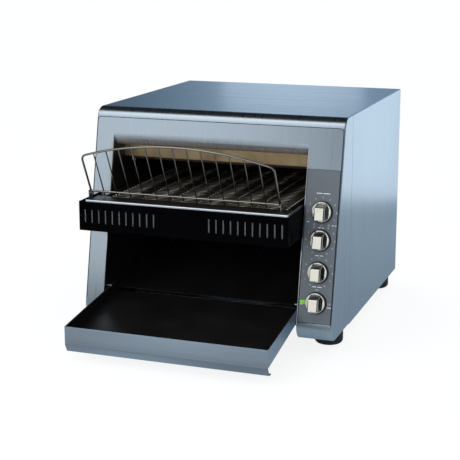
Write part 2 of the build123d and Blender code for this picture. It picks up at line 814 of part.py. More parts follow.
def wiring_loom():
    """Bundled wires from the terminals up to the lowest switch."""
    radius = 3.5
    z0 = z_base + sheet + terminal_height
    z_run = inlet_height + 20
    y_start = y_back - terminal_setback + 9
    y_end = face_y(power_height) + sheet + switch_depth
    points = [
        (control_x + 8, y_start, z0), (control_x + 8, y_start, z_run),
        (control_x + 8, y_end + 40, z_run), (control_x + 8, y_end + 2, power_height)]
    path = FilletPolyline(*points, radius=[18, 18])
    return sweep(Plane(origin=path @ 0, z_dir=path % 0) * Circle(radius), path=path)


# ------------------------------------------------------------------ controls
def control_overlay():
    """Dark printed plate on the right post, with holes for the controls."""
    x0 = mouth_right + overlay_left
    x1 = half_width - overlay_right
    middle_z = (overlay_top + overlay_bottom) / 2
    length = (overlay_top - overlay_bottom) / math.cos(tilt)
    base = on_face((x0 + x1) / 2, middle_z)
    shape = base * extrude(RectangleRounded(x1 - x0, length, 2), amount=overlay_thickness)
    for height in (speed_height, upper_heat_height, lower_heat_height, power_height):
        shape -= on_face(control_x, height) * Cylinder(bushing_radius + 1, 6 * sheet)
    window = Box(pilot_width + 0.4, pilot_height + 0.4, 6 * sheet)
    return shape - on_face(mouth_right + pilot_inset, power_height) * window


def knob(height):
    """Chrome knob: dished round skirt, a thick wedge to grip and a spindle."""
    low = (Align.CENTER, Align.CENTER, Align.MIN)
    skirt = Cylinder(knob_radius, skirt_depth, align=low)
    skirt = fillet(skirt.edges().sort_by(Axis.Z)[-1], skirt_rim / 2)
    dish = Cylinder(knob_radius - skirt_rim, skirt_dish + 1, align=low)
    skirt -= Pos(0, 0, skirt_depth - skirt_dish) * dish
    side = [
        (-grip_low, 0), (-grip_low, knob_depth), (grip_high, knob_depth),
        (grip_high + grip_slope, skirt_depth - skirt_dish), (grip_high + grip_slope, 0)]
    grip = across(make_face(Polyline(*side, close=True)), -grip_width / 2, grip_width / 2)
    grip = fillet(grip.edges().filter_by(lambda e: e.center().Z > skirt_depth), grip_round)
    grip &= Cylinder(knob_radius - skirt_rim / 2, 2 * knob_depth, align=low)
    shape = Pos(0, 0, knob_lift) * (skirt + grip)
    shape += Pos(0, 0, -spindle_length) * Cylinder(spindle_radius, spindle_length + knob_lift + 2, align=low)
    return on_face(control_x, height) * shape


def knob_speed():
    return knob(speed_height)


def knob_upper_heat():
    return knob(upper_heat_height)


def knob_lower_heat():
    return knob(lower_heat_height)


def knob_power():
    return knob(power_height)


def rotary_switch(height, round_case=False):
    """Switch behind the face with a threaded bushing through it."""
    top = (Align.CENTER, Align.CENTER, Align.MAX)
    low = (Align.CENTER, Align.CENTER, Align.MIN)
    case = Box(switch_size, switch_size, switch_depth - 1, align=top)
    if round_case:
        case = Cylinder(switch_size / 2 - 2, switch_depth - 10, align=top)
    shape = Pos(0, 0, -sheet) * case
    shape += Pos(0, 0, -sheet) * Cylinder(bushing_radius, sheet + 1, align=low)
    shape -= Pos(0, 0, -spindle_length - 0.5) * Cylinder(spindle_radius + running_gap, 2 * spindle_length, align=low)
    return on_face(control_x, height) * shape


def speed_control():
    return rotary_switch(speed_height, round_case=True)


def upper_heat_switch():
    return rotary_switch(upper_heat_height)


def lower_heat_switch():
    return rotary_switch(lower_heat_height)


def power_switch():
    return rotary_switch(power_height)


def pilot_lamp():
    """Green lamp with its body behind the face and a lens that stands proud."""
    top = (Align.CENTER, Align.CENTER, Align.MAX)
    low = (Align.CENTER, Align.CENTER, Align.MIN)
    lens = Pos(0, 0, -sheet) * Box(pilot_width, pilot_height, sheet + overlay_thickness + 1.6, align=low)
    lens = fillet(lens.faces().sort_by(Axis.Z)[-1].edges(), 0.8)
    lens += Pos(0, 0, -sheet) * Box(pilot_width + 3, pilot_height + 4, 12, align=top)
    return on_face(mouth_right + pilot_inset, power_height) * lens


# ------------------------------------------------------------------ feed deck
def front_guard():
    """Black guard round the front of the conveyor, with two groups of slots."""
    y0 = y_guard
    guard = block(guard_left, guard_right, y0, y0 + sheet, z_guard, z_deck)
    guard += block(guard_left, guard_right, y0, y0 + 16, z_guard, z_guard + sheet)
    left = [(y0, z_guard), (y0, z_deck), (face_y(z_deck), z_deck), (face_y(z_guard), z_guard)]
    guard += plate(left, guard_left, guard_left + sheet)
    guard += block(guard_right - sheet, guard_right, y0, y_brow - 30, z_guard, z_deck)
    group = slot_margin + slot_pitch * (slot_count - 1) / 2
    z_middle = z_guard + guard_height / 2
    for x in (guard_left + group, guard_right - group):
        slots = GridLocations(slot_pitch, 0, slot_count, 1) * SlotOverall(slot_height, slot_width, rotation=90)
        guard -= slot_cutters(Plane(origin=(x, y0, z_middle), x_dir=(1, 0, 0), z_dir=(0, -1, 0)), slots)
    return guard


def feed_shelf():
    """Black plate between the guard and the belt."""
    x1 = guard_right - 2 * sheet
    y0 = y_guard + nose_depth
    return block(guard_left + shelf_inset, x1, y0, y_brow - shelf_back, z_deck, z_deck + sheet)


def shelf_nose():
    """Bright rounded bar along the shelf's front edge."""
    x0, x1 = guard_left + shelf_inset, guard_right - 2 * sheet
    bar = block(x0, x1, y_guard, y_guard + nose_depth, z_deck, z_deck + nose_height)
    return fillet(bar.edges().filter_by(Axis.X).group_by(Axis.Z)[-1], 1.5)


def feed_side_trim():
    """Stainless strip inside the guard's right wall."""
    x1 = guard_right - sheet
    z1 = z_deck + trim_rise
    return block(x1 - sheet, x1, y_guard + sheet, y_brow - trim_setback, z1 - trim_height, z1)


def guard_brackets():
    """Blocks that tie the guard's walls to the conveyor rails."""
    y0 = rail_front
    y1 = y0 + bracket_depth
    z0 = rail_bottom - bracket_height / 3
    z1 = z0 + bracket_height
    left = block(guard_left + sheet, rail_left, y0, y1, z0, z1)
    right = block(rail_right + rail_thickness, guard_right - sheet, y0, y1, z0, z1)
    return Compound([left, right])


rack_left = guard_left + rack_left_inset
rack_right = rack_left + rack_width
rack_y = y_brow - rack_reach
rack_z = z_deck + rack_pivot_rise


def rack_pivots():
    """Two brackets with a pin each, at the ends of the rack."""
    x0 = guard_left + sheet
    y0 = rack_y - pivot_half
    y1 = rack_y + pivot_half
    left = block(x0, x0 + pivot_plate, y0, y1, z_deck - 1.5 * pivot_half, rack_z + pivot_half)
    left += rod_x(pivot_pin, x0, rack_left + 4, rack_y, rack_z)
    x1 = rack_right + 2
    right = block(x1, x1 + pivot_plate, y0, y1, z_deck + sheet, rack_z + pivot_half)
    right += rod_x(pivot_pin, rack_right - 4, x1 + pivot_plate, rack_y, rack_z)
    return Compound([left, right])


def feed_rack():
    """Wire rack that the bread leans on: arched frame, thin uprights and two eyelets."""
    half = rack_width / 2
    low = eyelet_radius + rack_frame_wire
    frame = Wire([
        Line((-half, eyelet_radius), (-half, rack_end_height)),
        ThreePointArc((-half, rack_end_height), (0, rack_mid_height), (half, rack_end_height)),
        Line((half, rack_end_height), (half, eyelet_radius))])
    frame = frame.fillet_2d(rack_corner, frame.vertices()[1:3])
    rack = sweep(Plane(origin=frame @ 0, z_dir=frame % 0) * Circle(rack_frame_wire), path=frame)
    rack += Pos(-half, low, 0) * Rot(0, 90, 0) * Cylinder(
        rack_frame_wire, rack_width, align=(Align.CENTER, Align.CENTER, Align.MIN))
    rise = rack_mid_height - rack_end_height
    arch = (half ** 2 + rise ** 2) / (2 * rise)
    for i in range(rack_wires):
        x = -half + (i + 1) * rack_width / (rack_wires + 1)
        top = rack_mid_height - arch + math.sqrt(arch ** 2 - x ** 2)
        wire = Cylinder(rack_wire, top + 4, align=(Align.CENTER, Align.CENTER, Align.MIN))
        rack += Pos(x, -4, 0) * Rot(-90, 0, 0) * wire
    for x in (-half, half):
        rack += Pos(x, 0, 0) * Rot(0, 90, 0) * Torus(eyelet_radius, eyelet_wire)
    lean = math.radians(rack_lean)
    place = Plane(
        origin=((rack_left + rack_right) / 2, rack_y, rack_z),
        x_dir=(1, 0, 0), z_dir=(0, -math.cos(lean), -math.sin(lean)))
    return place * rack


# ------------------------------------------------------------------ trays
def discharge_tray():
    """Stainless tray that the toast slides into, cantilevered out of the mouth."""
    walls = [
        (y_tray, tray_floor_z(y_tray)), (y_tray, tray_rim_z(y_tray)),
        (tray_back, tray_rim_z(tray_back)), (tray_back, tray_floor_z(tray_back))]
    floor = [
        (y_tray, tray_floor_z(y_tray)), (y_tray, tray_floor_z(y_tray) + sheet),
        (tray_back, tray_floor_z(tray_back) + sheet), (tray_back, tray_floor_z(tray_back))]
    tray = plate(floor, tray_left, tray_right)
    tray += plate(walls, tray_left, tray_left + sheet)
    tray += plate(walls, tray_right - sheet, tray_right)
    front = [
        (y_tray, tray_rim_height), (y_tray, tray_floor_height - 2),
        (y_tray + 8, lip_height), (y_tray + 18, lip_height)]
    return tray + folded_sheet(front, [8, 2.5], tray_left, tray_right)


def tray_liner():
    """Black coated liner that lies in the tray."""
    y0 = y_tray + sheet + liner_gap
    lift = sheet + liner_gap
    wall = [
        (y0, tray_floor_z(y0) + lift), (y0, tray_rim_z(y0) - liner_rim_drop),
        (tray_back, tray_rim_z(tray_back) - liner_rim_drop), (tray_back, tray_floor_z(tray_back) + lift)]
    floor = [
        (y0, tray_floor_z(y0) + lift), (y0, tray_floor_z(y0) + lift + liner_sheet),
        (tray_back, tray_floor_z(tray_back) + lift + liner_sheet), (tray_back, tray_floor_z(tray_back) + lift)]
    x0 = tray_left + sheet + liner_gap
    x1 = tray_right - sheet - liner_gap
    liner = plate(floor, x0, x1)
    liner += plate(wall, x0, x0 + liner_sheet)
    liner += plate(wall, x1 - liner_sheet, x1)
    y1 = y0 + liner_sheet
    front = [
        (y0, tray_floor_z(y0) + lift), (y0, tray_rim_z(y0) - liner_rim_drop),
        (y1, tray_rim_z(y0) - liner_rim_drop), (y1, tray_floor_z(y1) + lift)]
    return liner + plate(front, x0, x1)


def tray_supports():
    """Ledges under the tray and pins over its rim, on both sides of the oven."""
    y0 = y_brow - ledge_reach
    y1 = tray_back - 6
    z0 = tray_floor_z(y0) - slide_gap
    z1 = tray_floor_z(y1) - slide_gap
    ledge = [(y0, z0), (y1, z1), (y1, z1 - ledge_height), (y0, z0 - ledge_height)]
    pin_y = y_brow - rim_pin_reach
    pin_z = tray_rim_z(pin_y) + rim_pin_radius + 2 * slide_gap
    parts = []
    for x0, x1 in ((mouth_left, mouth_left + ledge_width), (mouth_right - ledge_width, mouth_right)):
        parts.append(plate(ledge, x0, x1))
        parts.append(rod_x(rim_pin_radius, x0, x1, pin_y, pin_z))
    return Compound(parts)


def crumb_tray():
    """Shallow pan under the chute that pulls out at the back."""
    x0, x1 = crumb_sides()
    y0 = y_cap + 6
    z0 = z_base + sheet + slide_gap
    z1 = z0 + crumb_height
    pan = block(x0, x1, y0, y_back, z0, z1)
    pan -= block(x0 + crumb_wall, x1 - crumb_wall, y0 + crumb_wall, y_back - crumb_wall, z0 + crumb_wall, z1 + 1)
    middle = (x0 + x1) / 2
    pan += block(middle - 60, middle + 60, y_back, y_back + back_reach, z1 - crumb_wall, z1)
    lip = block(
        middle - 60, middle + 60, y_back + back_reach - crumb_wall, y_back + back_reach, z1 - 8, z1)
    return pan + lip


# ------------------------------------------------------------------ write one file for each part
part_makers = [
    front_cap, casing_wrap, back_panel, back_screws, base_pan, feet,
    oven_side_left, oven_side_right, upper_reflector, feed_baffle, lower_reflector,
    toast_chute, insulation_pad, upper_elements, lower_elements, element_bushings,
    conveyor_ties, shaft_bearings, drive_shaft, idler_shaft, drive_sprockets,
    idler_sprockets, conveyor_belt, chain_wheel, motor_sprocket, drive_chain, gearbox,
    drive_motor, motor_standoffs, fan_frame, fan_rotor, fan_guard, speed_board,
    terminal_block, cord_inlet, wiring_loom, control_overlay, knob_speed, knob_upper_heat,
    knob_lower_heat, knob_power, speed_control, upper_heat_switch, lower_heat_switch,
    power_switch, pilot_lamp, front_guard, feed_shelf, shelf_nose, feed_side_trim,
    guard_brackets, rack_pivots, feed_rack, discharge_tray, tray_liner, tray_supports,
    crumb_tray]

for make in part_makers:
    export_step(make(), f"parts/{make.__name__}.step")
export_step(conveyor_rail(rail_left), "parts/conveyor_rail_left.step")
export_step(conveyor_rail(rail_right), "parts/conveyor_rail_right.step")
print("brow at", round(y_brow, 2), "axles at", round(front_axle, 2), round(rear_axle, 2), round(axle_z, 2))
print("motor height", round(motor_z, 2), "rack pivot", round(rack_y, 2), rack_z, "fan at", y_back)
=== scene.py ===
# %% [markdown]
# # A conveyor toaster, dressed on its CAD frame
#
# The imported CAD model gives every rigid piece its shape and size. This lesson adds what CAD
# leaves out: the metal's brushing, the baked enamel, the woven belt, the printed dials, the
# light and the camera. The scene is in metres, +Z up, with the operator at -Y. Small shapes
# are worked out in millimetres and divided by 1000 as their meshes are made.

# %% Load the frame
import json
import math
import bmesh
import bpy
import numpy as np
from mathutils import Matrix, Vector


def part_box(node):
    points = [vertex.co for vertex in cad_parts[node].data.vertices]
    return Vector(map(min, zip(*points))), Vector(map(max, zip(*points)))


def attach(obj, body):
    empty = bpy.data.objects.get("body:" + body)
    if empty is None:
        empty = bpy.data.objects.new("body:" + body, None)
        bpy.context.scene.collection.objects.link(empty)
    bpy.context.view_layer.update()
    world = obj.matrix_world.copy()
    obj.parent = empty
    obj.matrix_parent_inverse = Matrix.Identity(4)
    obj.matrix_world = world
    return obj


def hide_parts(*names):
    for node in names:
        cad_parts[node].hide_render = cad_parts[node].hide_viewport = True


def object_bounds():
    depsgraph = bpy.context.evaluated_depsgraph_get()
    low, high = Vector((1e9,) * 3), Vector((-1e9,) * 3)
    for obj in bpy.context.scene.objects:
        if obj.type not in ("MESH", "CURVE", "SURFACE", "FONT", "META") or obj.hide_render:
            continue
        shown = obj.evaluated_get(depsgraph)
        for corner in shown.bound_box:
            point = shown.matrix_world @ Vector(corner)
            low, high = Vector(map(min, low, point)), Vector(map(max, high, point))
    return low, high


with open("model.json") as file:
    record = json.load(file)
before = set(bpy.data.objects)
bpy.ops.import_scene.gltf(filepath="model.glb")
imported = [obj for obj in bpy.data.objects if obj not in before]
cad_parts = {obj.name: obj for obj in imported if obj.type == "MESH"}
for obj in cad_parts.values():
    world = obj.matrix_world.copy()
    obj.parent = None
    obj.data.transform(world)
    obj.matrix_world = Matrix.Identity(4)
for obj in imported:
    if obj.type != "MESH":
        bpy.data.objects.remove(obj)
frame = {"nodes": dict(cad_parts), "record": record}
cad_box = [list(corner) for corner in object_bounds()]
nodes = frame["nodes"]
slot_of = {part["node"]: part["material_slot"] for part in frame["record"]["subparts"]}

# %% [markdown]
# ## The camera
#
# A long lens keeps the casing's edges nearly parallel. The camera stands to the operator's
# right, looks a little down and is level. A small vertical shift puts the toaster in the
# frame without tipping the camera, so upright edges keep their slight convergence.

# %% Camera
# Place in metres, then degrees below level and degrees turned to the left
CAMERA_PLACE = (0.75753, -2.17369, 0.7353)
LOOK_DOWN = 12.5
LOOK_LEFT = 19.67
camera_data = bpy.data.cameras.new("camera")
camera = bpy.data.objects.new("camera", camera_data)
bpy.context.scene.collection.objects.link(camera)
camera.location = CAMERA_PLACE
camera.rotation_euler = (math.radians(90 - LOOK_DOWN), 0, math.radians(LOOK_LEFT))
camera_data.sensor_width = 36
camera_data.lens = 92.98
camera_data.shift_y = -0.05
bpy.context.scene.camera = camera
bpy.context.scene.view_settings.view_transform = "Standard"
print("camera:", round(camera_data.lens, 2), "mm lens")

# %% [markdown]
# ## Small tools for colours and shader trees
#
# Paint charts give colours as sRGB hex values, but a renderer adds light in linear values,
# so one function turns the first into the second. A second function adds a node, sets its
# options and fills or links its inputs, which keeps each finish down to a few lines. Trees
# could be wired by hand in the shader editor, but a script can be read and changed.


# %% Colour and node helpers
def linear(hex_colour):
    """sRGB hex to linear RGBA: c/12.92 below 0.04045, else ((c + 0.055) / 1.055) to the 2.4."""
    values = [int(hex_colour[i:i + 2], 16) / 255 for i in (1, 3, 5)]
    return tuple(c / 12.92 if c <= 0.04045 else ((c + 0.055) / 1.055) ** 2.4 for c in values) + (1.0,)


def add(tree, kind, inputs=None, tones=(), **settings):
    """Add a node; inputs maps a socket's name or number to a value or to another socket.

    The tones of a colour ramp are (position, colour) pairs in rising order."""
    made = tree.nodes.new(kind)
    for name, value in settings.items():
        setattr(made, name, value)
    for name, value in (inputs or {}).items():
        if isinstance(value, bpy.types.NodeSocket):
            tree.links.new(value, made.inputs[name])
        else:
            made.inputs[name].default_value = value
    for position, _ in tones[1:-1]:
        made.color_ramp.elements.new(position)
    if tones:
        for element, (position, colour) in zip(made.color_ramp.elements, tones):
            element.position, element.color = position, linear(colour)
    return made


def start_finish(name, colour, metallic, roughness, **more):
    """A new material, its tree, its Principled shader at these values and the coordinates."""
    material = bpy.data.materials.new(name)
    material.use_nodes = True
    tree = material.node_tree
    shader = tree.nodes["Principled BSDF"]
    shader.inputs["Base Color"].default_value = linear(colour)
    shader.inputs["Metallic"].default_value = metallic
    shader.inputs["Roughness"].default_value = roughness
    for socket, value in more.items():
        shader.inputs[socket.replace("_", " ")].default_value = value
    return material, tree, shader, add(tree, "ShaderNodeTexCoord").outputs


def feed(tree, shader, **sockets):
    """Link named inputs of a shader to sockets."""
    for name, socket in sockets.items():
        tree.links.new(socket, shader.inputs[name.replace("_", " ")])


def per_metre(millimetres):
    """Texture scale for a feature of this size: features per metre."""
    return 1000 / millimetres


print("mid grey in linear values:", round(linear("#808080")[0], 3))


# %% [markdown]
# ## Brushed stainless steel
#
# The casing is 304 stainless sheet, brushed in one direction with an abrasive belt. The
# scratches run down the face and the sides and across the roof, because the roof and the
# sides are one sheet folded twice. Scratches spread a reflection across themselves and
# leave it sharp along themselves, which is what makes metal look brushed, so on the face
# and the sides the shader stretches its reflection across them. The roof keeps the face's
# direction, which spreads its reflections sideways. Real scratches are about 0.1 mm wide,
# too fine to show here, so they are drawn about 1.3 mm wide under wider, weaker bands. The
# pattern is noise squeezed across the scratches and stretched along them, which needs no
# image and has no repeat. A Bevel node rounds the light on the sheet's edges, as a
# deburred fold does.


# %% Brushed stainless finishes
def brushed_stainless(name, colour, pale, roughness, level=False):
    """Brushed sheet: colour and roughness vary in streaks, with a shallow scratch bump.

    The streaks are upright on surfaces that face forward, or level if asked."""
    material, tree, shader, coords = start_finish(name, colour, 1.0, roughness)
    shader.inputs["Specular Tint"].default_value = linear("#D4DEE6")
    # A face that leans past 7 degrees from level is upright, one turned past 45 is a side
    facing = add(tree, "ShaderNodeSeparateXYZ", {0: coords["Normal"]})
    forward = add(tree, "ShaderNodeMath", {0: facing.outputs["Y"]}, operation="ABSOLUTE")
    upright = add(tree, "ShaderNodeMath", {0: forward.outputs[0], 1: 0.12}, operation="GREATER_THAN")
    sideways = add(tree, "ShaderNodeMath", {0: facing.outputs["X"]}, operation="ABSOLUTE")
    is_side = add(tree, "ShaderNodeMath", {0: sideways.outputs[0], 1: 0.7}, operation="GREATER_THAN")
    levels = []
    # Width and length in mm of the scratches, then of the wider bands
    for width, length in ((1.3, 260), (9, 600)):
        fine, coarse = per_metre(width), per_metre(length)
        scale = add(tree, "ShaderNodeMix", {
            0: upright.outputs[0], 4: (coarse, fine, coarse),
            5: (coarse, coarse, fine) if level else (fine, coarse, coarse)}, data_type="VECTOR")
        spot = add(tree, "ShaderNodeVectorMath", {
            0: coords["Object"], 1: scale.outputs[1]}, operation="MULTIPLY")
        noise = add(tree, "ShaderNodeTexNoise", {
            "Vector": spot.outputs[0], "Scale": 1.0, "Detail": 3.0, "Roughness": 0.6})
        levels.append(noise.outputs["Fac"])
    both = add(tree, "ShaderNodeMix", {0: 0.45, 2: levels[0], 3: levels[1]})
    streak = add(tree, "ShaderNodeMapRange", {
        "Value": both.outputs[0], "From Min": 0.32, "From Max": 0.68})
    tone = add(tree, "ShaderNodeMix", {
        0: streak.outputs[0], 6: linear(colour), 7: linear(pale)}, data_type="RGBA")
    rough = add(tree, "ShaderNodeMapRange", {
        "Value": streak.outputs[0], "To Min": roughness - 0.05, "To Max": roughness + 0.06})
    edge = add(tree, "ShaderNodeBevel", {"Radius": 0.0007}, samples=4)
    bump = add(tree, "ShaderNodeBump", {
        "Strength": 0.25, "Distance": 0.00003, "Height": streak.outputs[0],
        "Normal": edge.outputs[0]})
    spread = add(tree, "ShaderNodeMix", {
        0: is_side.outputs[0], 4: (0, 0, 1) if level else (1, 0, 0), 5: (0, 1, 0)}, data_type="VECTOR")
    shader.inputs["Anisotropic"].default_value = 0.6
    feed(
        tree, shader, Tangent=spread.outputs[1], Base_Color=tone.outputs[2],
        Roughness=rough.outputs[0], Normal=bump.outputs[0])
    return material


steel_face = brushed_stainless("stainless_304_brushed_face", "#A5B2BC", "#B3BFC8", 0.3)
steel_wrap = brushed_stainless("stainless_304_brushed_wrap", "#A5B3BE", "#B2BFC9", 0.3)
steel_tray = brushed_stainless("stainless_304_brushed_tray", "#A3B0BD", "#B1BDC8", 0.3, level=True)
steel_trim = brushed_stainless("stainless_304_satin_trim", "#A9B3BB", "#BBC4CB", 0.25)
print("stainless finishes: 4")

# %% [markdown]
# ## Painted reflection round the mouth
#
# A straw-brown tint on the steel just above the oven's mouth paints the brown reflection
# and shade that show there. It could be painted by hand or kept in an attribute, but a
# distance is enough here: the painted tint is full inside a box over the mouth and fades out
# over 22 mm. The finish is also less metallic where the tint is.


# %% Painted reflection above the mouth
def add_heat_tint(material, middle, half, reach, colour):
    """Share of colour = 0.85 inside a box of half sizes, easing to 0 at reach beyond it, in mm."""
    tree = material.node_tree
    shader = tree.nodes["Principled BSDF"]
    steel = shader.inputs["Base Color"].links[0].from_socket
    coords = add(tree, "ShaderNodeTexCoord")
    from_middle = add(tree, "ShaderNodeVectorMath", {
        0: coords.outputs["Object"], 1: [v / 1000 for v in middle]}, operation="SUBTRACT")
    size = add(tree, "ShaderNodeVectorMath", {0: from_middle.outputs[0]}, operation="ABSOLUTE")
    beyond = add(tree, "ShaderNodeVectorMath", {
        0: size.outputs[0], 1: [v / 1000 for v in half]}, operation="SUBTRACT")
    outside = add(tree, "ShaderNodeVectorMath", {0: beyond.outputs[0], 1: (0, 0, 0)}, operation="MAXIMUM")
    away = add(tree, "ShaderNodeVectorMath", {0: outside.outputs[0]}, operation="LENGTH")
    share = add(tree, "ShaderNodeMapRange", {
        "Value": away.outputs["Value"], "From Max": reach / 1000, "To Min": 0.85, "To Max": 0.0},
        interpolation_type="SMOOTHSTEP")
    tinted = add(tree, "ShaderNodeMix", {
        0: share.outputs[0], 6: steel, 7: linear(colour)}, data_type="RGBA")
    metal = add(tree, "ShaderNodeMapRange", {"Value": share.outputs[0], "To Min": 1.0, "To Max": 0.25})
    feed(tree, shader, Base_Color=tinted.outputs[2], Metallic=metal.outputs[0])


# A brown tint and duller metal over the mouth paint the reflection and shade seen there
add_heat_tint(steel_face, middle=(-14.5, -150, 330), half=(182, 60, 30), reach=22, colour="#A08C7A")
print("tinted:", steel_face.name)

# %% [markdown]
# ## Plain metals
#
# Behind the face are zinc-plated sheet, turned shafts, sintered bronze bearings and steel
# that the oven has tinted straw and brown. Each keeps the metal's own colour in the base
# colour and gets its texture from how it was made: zinc has faint crystals, turned steel
# has rings, bronze has dark pores, and heat tint follows broad soft clouds. One or two
# patterns are enough for each, since these parts are seen small and in the dark.


# %% Zinc plate
def zinc_plate():
    """Electroplated zinc: soft grey crystals about 6 mm across."""
    material, tree, shader, coords = start_finish("zinc_plated_steel", "#A3A8AA", 1.0, 0.42)
    cells = add(tree, "ShaderNodeTexVoronoi", {
        "Vector": coords["Object"], "Scale": per_metre(6)}, feature="F1")
    tone = add(tree, "ShaderNodeMix", {
        0: cells.outputs["Distance"], 6: linear("#8F9496"), 7: linear("#B2B7B9")}, data_type="RGBA")
    rough = add(tree, "ShaderNodeMapRange", {
        "Value": cells.outputs["Distance"], "To Min": 0.34, "To Max": 0.52})
    feed(tree, shader, Base_Color=tone.outputs[2], Roughness=rough.outputs[0])
    return material


zinc = zinc_plate()
print("made:", zinc.name)

# %% Turned steel
# A wave texture repeats each time its scaled coordinate grows by pi / 10
WAVE_PERIOD = math.pi / 10


def turned_steel():
    """Oiled shaft steel from a lathe, its too fine rings drawn about 1.6 mm apart."""
    material, tree, shader, coords = start_finish("turned_mild_steel", "#8A8C8E", 1.0, 0.3)
    rings = add(tree, "ShaderNodeTexWave", {
        "Vector": coords["Object"], "Scale": per_metre(1.578) * WAVE_PERIOD,
        "Distortion": 2.0, "Detail": 2.0}, wave_type="BANDS", bands_direction="X")
    grime = add(tree, "ShaderNodeTexNoise", {
        "Vector": coords["Object"], "Scale": per_metre(18), "Detail": 3.0})
    tone = add(tree, "ShaderNodeMix", {
        0: grime.outputs["Fac"], 6: linear("#6E7072"), 7: linear("#A2A4A6")}, data_type="RGBA")
    bump = add(tree, "ShaderNodeBump", {
        "Strength": 0.2, "Distance": 0.00005, "Height": rings.outputs["Fac"]})
    feed(tree, shader, Base_Color=tone.outputs[2], Normal=bump.outputs[0])
    return material


shaft_steel = turned_steel()
print("made:", shaft_steel.name)


# %% Sintered bronze
def sintered_bronze():
    """Porous bronze bush: warm, dull, with oil-dark pores under a millimetre apart."""
    material, tree, shader, coords = start_finish("sintered_bronze", "#9A7B4F", 1.0, 0.45)
    pores = add(tree, "ShaderNodeTexNoise", {
        "Vector": coords["Object"], "Scale": per_metre(0.9), "Detail": 2.0})
    tone = add(tree, "ShaderNodeMix", {
        0: pores.outputs["Fac"], 6: linear("#6E5433"), 7: linear("#B5935F")}, data_type="RGBA")
    feed(tree, shader, Base_Color=tone.outputs[2])
    return material


bronze = sintered_bronze()
print("made:", bronze.name)


# %% Heat-tinted steel and element sheaths
def heat_tinted_steel():
    """Steel by the elements: straw in most places, brown and a little blue in clouds 70 mm wide."""
    material, tree, shader, coords = start_finish("heat_tinted_steel", "#B09A74", 1.0, 0.38)
    clouds = add(tree, "ShaderNodeTexNoise", {
        "Vector": coords["Object"], "Scale": per_metre(70), "Detail": 4.0, "Roughness": 0.55})
    tint = add(tree, "ShaderNodeValToRGB", {0: clouds.outputs["Fac"]}, tones=[
        (0.3, "#7C6B54"), (0.52, "#A4906E"), (0.75, "#BAA785")])
    rough = add(tree, "ShaderNodeMapRange", {
        "Value": clouds.outputs["Fac"], "To Min": 0.28, "To Max": 0.5})
    feed(tree, shader, Base_Color=tint.outputs[0], Roughness=rough.outputs[0])
    return material


def element_sheath():
    """Nickel alloy tube, oxidised dark and matt, with slightly rusty patches."""
    material, tree, shader, coords = start_finish("oxidised_nickel_alloy", "#4A4540", 0.6, 0.6)
    patches = add(tree, "ShaderNodeTexNoise", {
        "Vector": coords["Object"], "Scale": per_metre(14), "Detail": 5.0})
    tone = add(tree, "ShaderNodeMix", {
        0: patches.outputs["Fac"], 6: linear("#34302D"), 7: linear("#6A5547")}, data_type="RGBA")
    feed(tree, shader, Base_Color=tone.outputs[2])
    return material


tinted_steel = heat_tinted_steel()
sheath = element_sheath()
print("made:", tinted_steel.name, "and", sheath.name)

# %% [markdown]
# ## Bright wire and chrome
#
# The rack and the finger guard are drawn wire, plated bright. The belt is stainless wire
# that the oven has dulled and browned a little, and its end eyes are drawn paler. The knobs
# are chrome over zinc castings, smooth enough to mirror the room, with faint finger smears.
# Plating hides the metal's own texture, so only the roughness changes from place to place
# and one function makes all four plated or polished finishes.


# %% Plated and polished finishes
def plated(name, colour, low, high, smear_size):
    """Bright plating whose roughness drifts between low and high in smears."""
    material, tree, shader, coords = start_finish(name, colour, 1.0, low)
    smears = add(tree, "ShaderNodeTexNoise", {
        "Vector": coords["Object"], "Scale": per_metre(smear_size), "Detail": 4.0})
    rough = add(tree, "ShaderNodeMapRange", {
        "Value": smears.outputs["Fac"], "From Min": 0.35, "From Max": 0.7, "To Min": low, "To Max": high})
    edge = add(tree, "ShaderNodeBevel", {"Radius": 0.0004}, samples=4)
    feed(tree, shader, Roughness=rough.outputs[0], Normal=edge.outputs[0])
    return material


knob_chrome = plated("chrome_on_zinc_casting", "#D2D0C8", 0.07, 0.16, 12)
rack_wire = plated("bright_plated_wire", "#98948D", 0.09, 0.17, 20)
nose_steel = plated("polished_stainless", "#DCE2E8", 0.12, 0.2, 30)
pale_eye_steel = plated("pale_wire_ends", "#F2ECE2", 0.4, 0.5, 4)
print("plated and polished finishes: 4")


# %% Belt wire finish
def oven_wire():
    """Stainless belt wire after months in the oven: grey with straw and brown lengths."""
    material, tree, shader, coords = start_finish("oven_darkened_wire", "#B4AFA6", 1.0, 0.28)
    lengths = add(tree, "ShaderNodeTexNoise", {
        "Vector": coords["Object"], "Scale": per_metre(25), "Detail": 3.0})
    tone = add(tree, "ShaderNodeMix", {
        0: lengths.outputs["Fac"], 6: linear("#9C8F7D"), 7: linear("#E0DDD6")}, data_type="RGBA")
    feed(tree, shader, Base_Color=tone.outputs[2])
    return material


belt_wire = oven_wire()
print("made:", belt_wire.name)
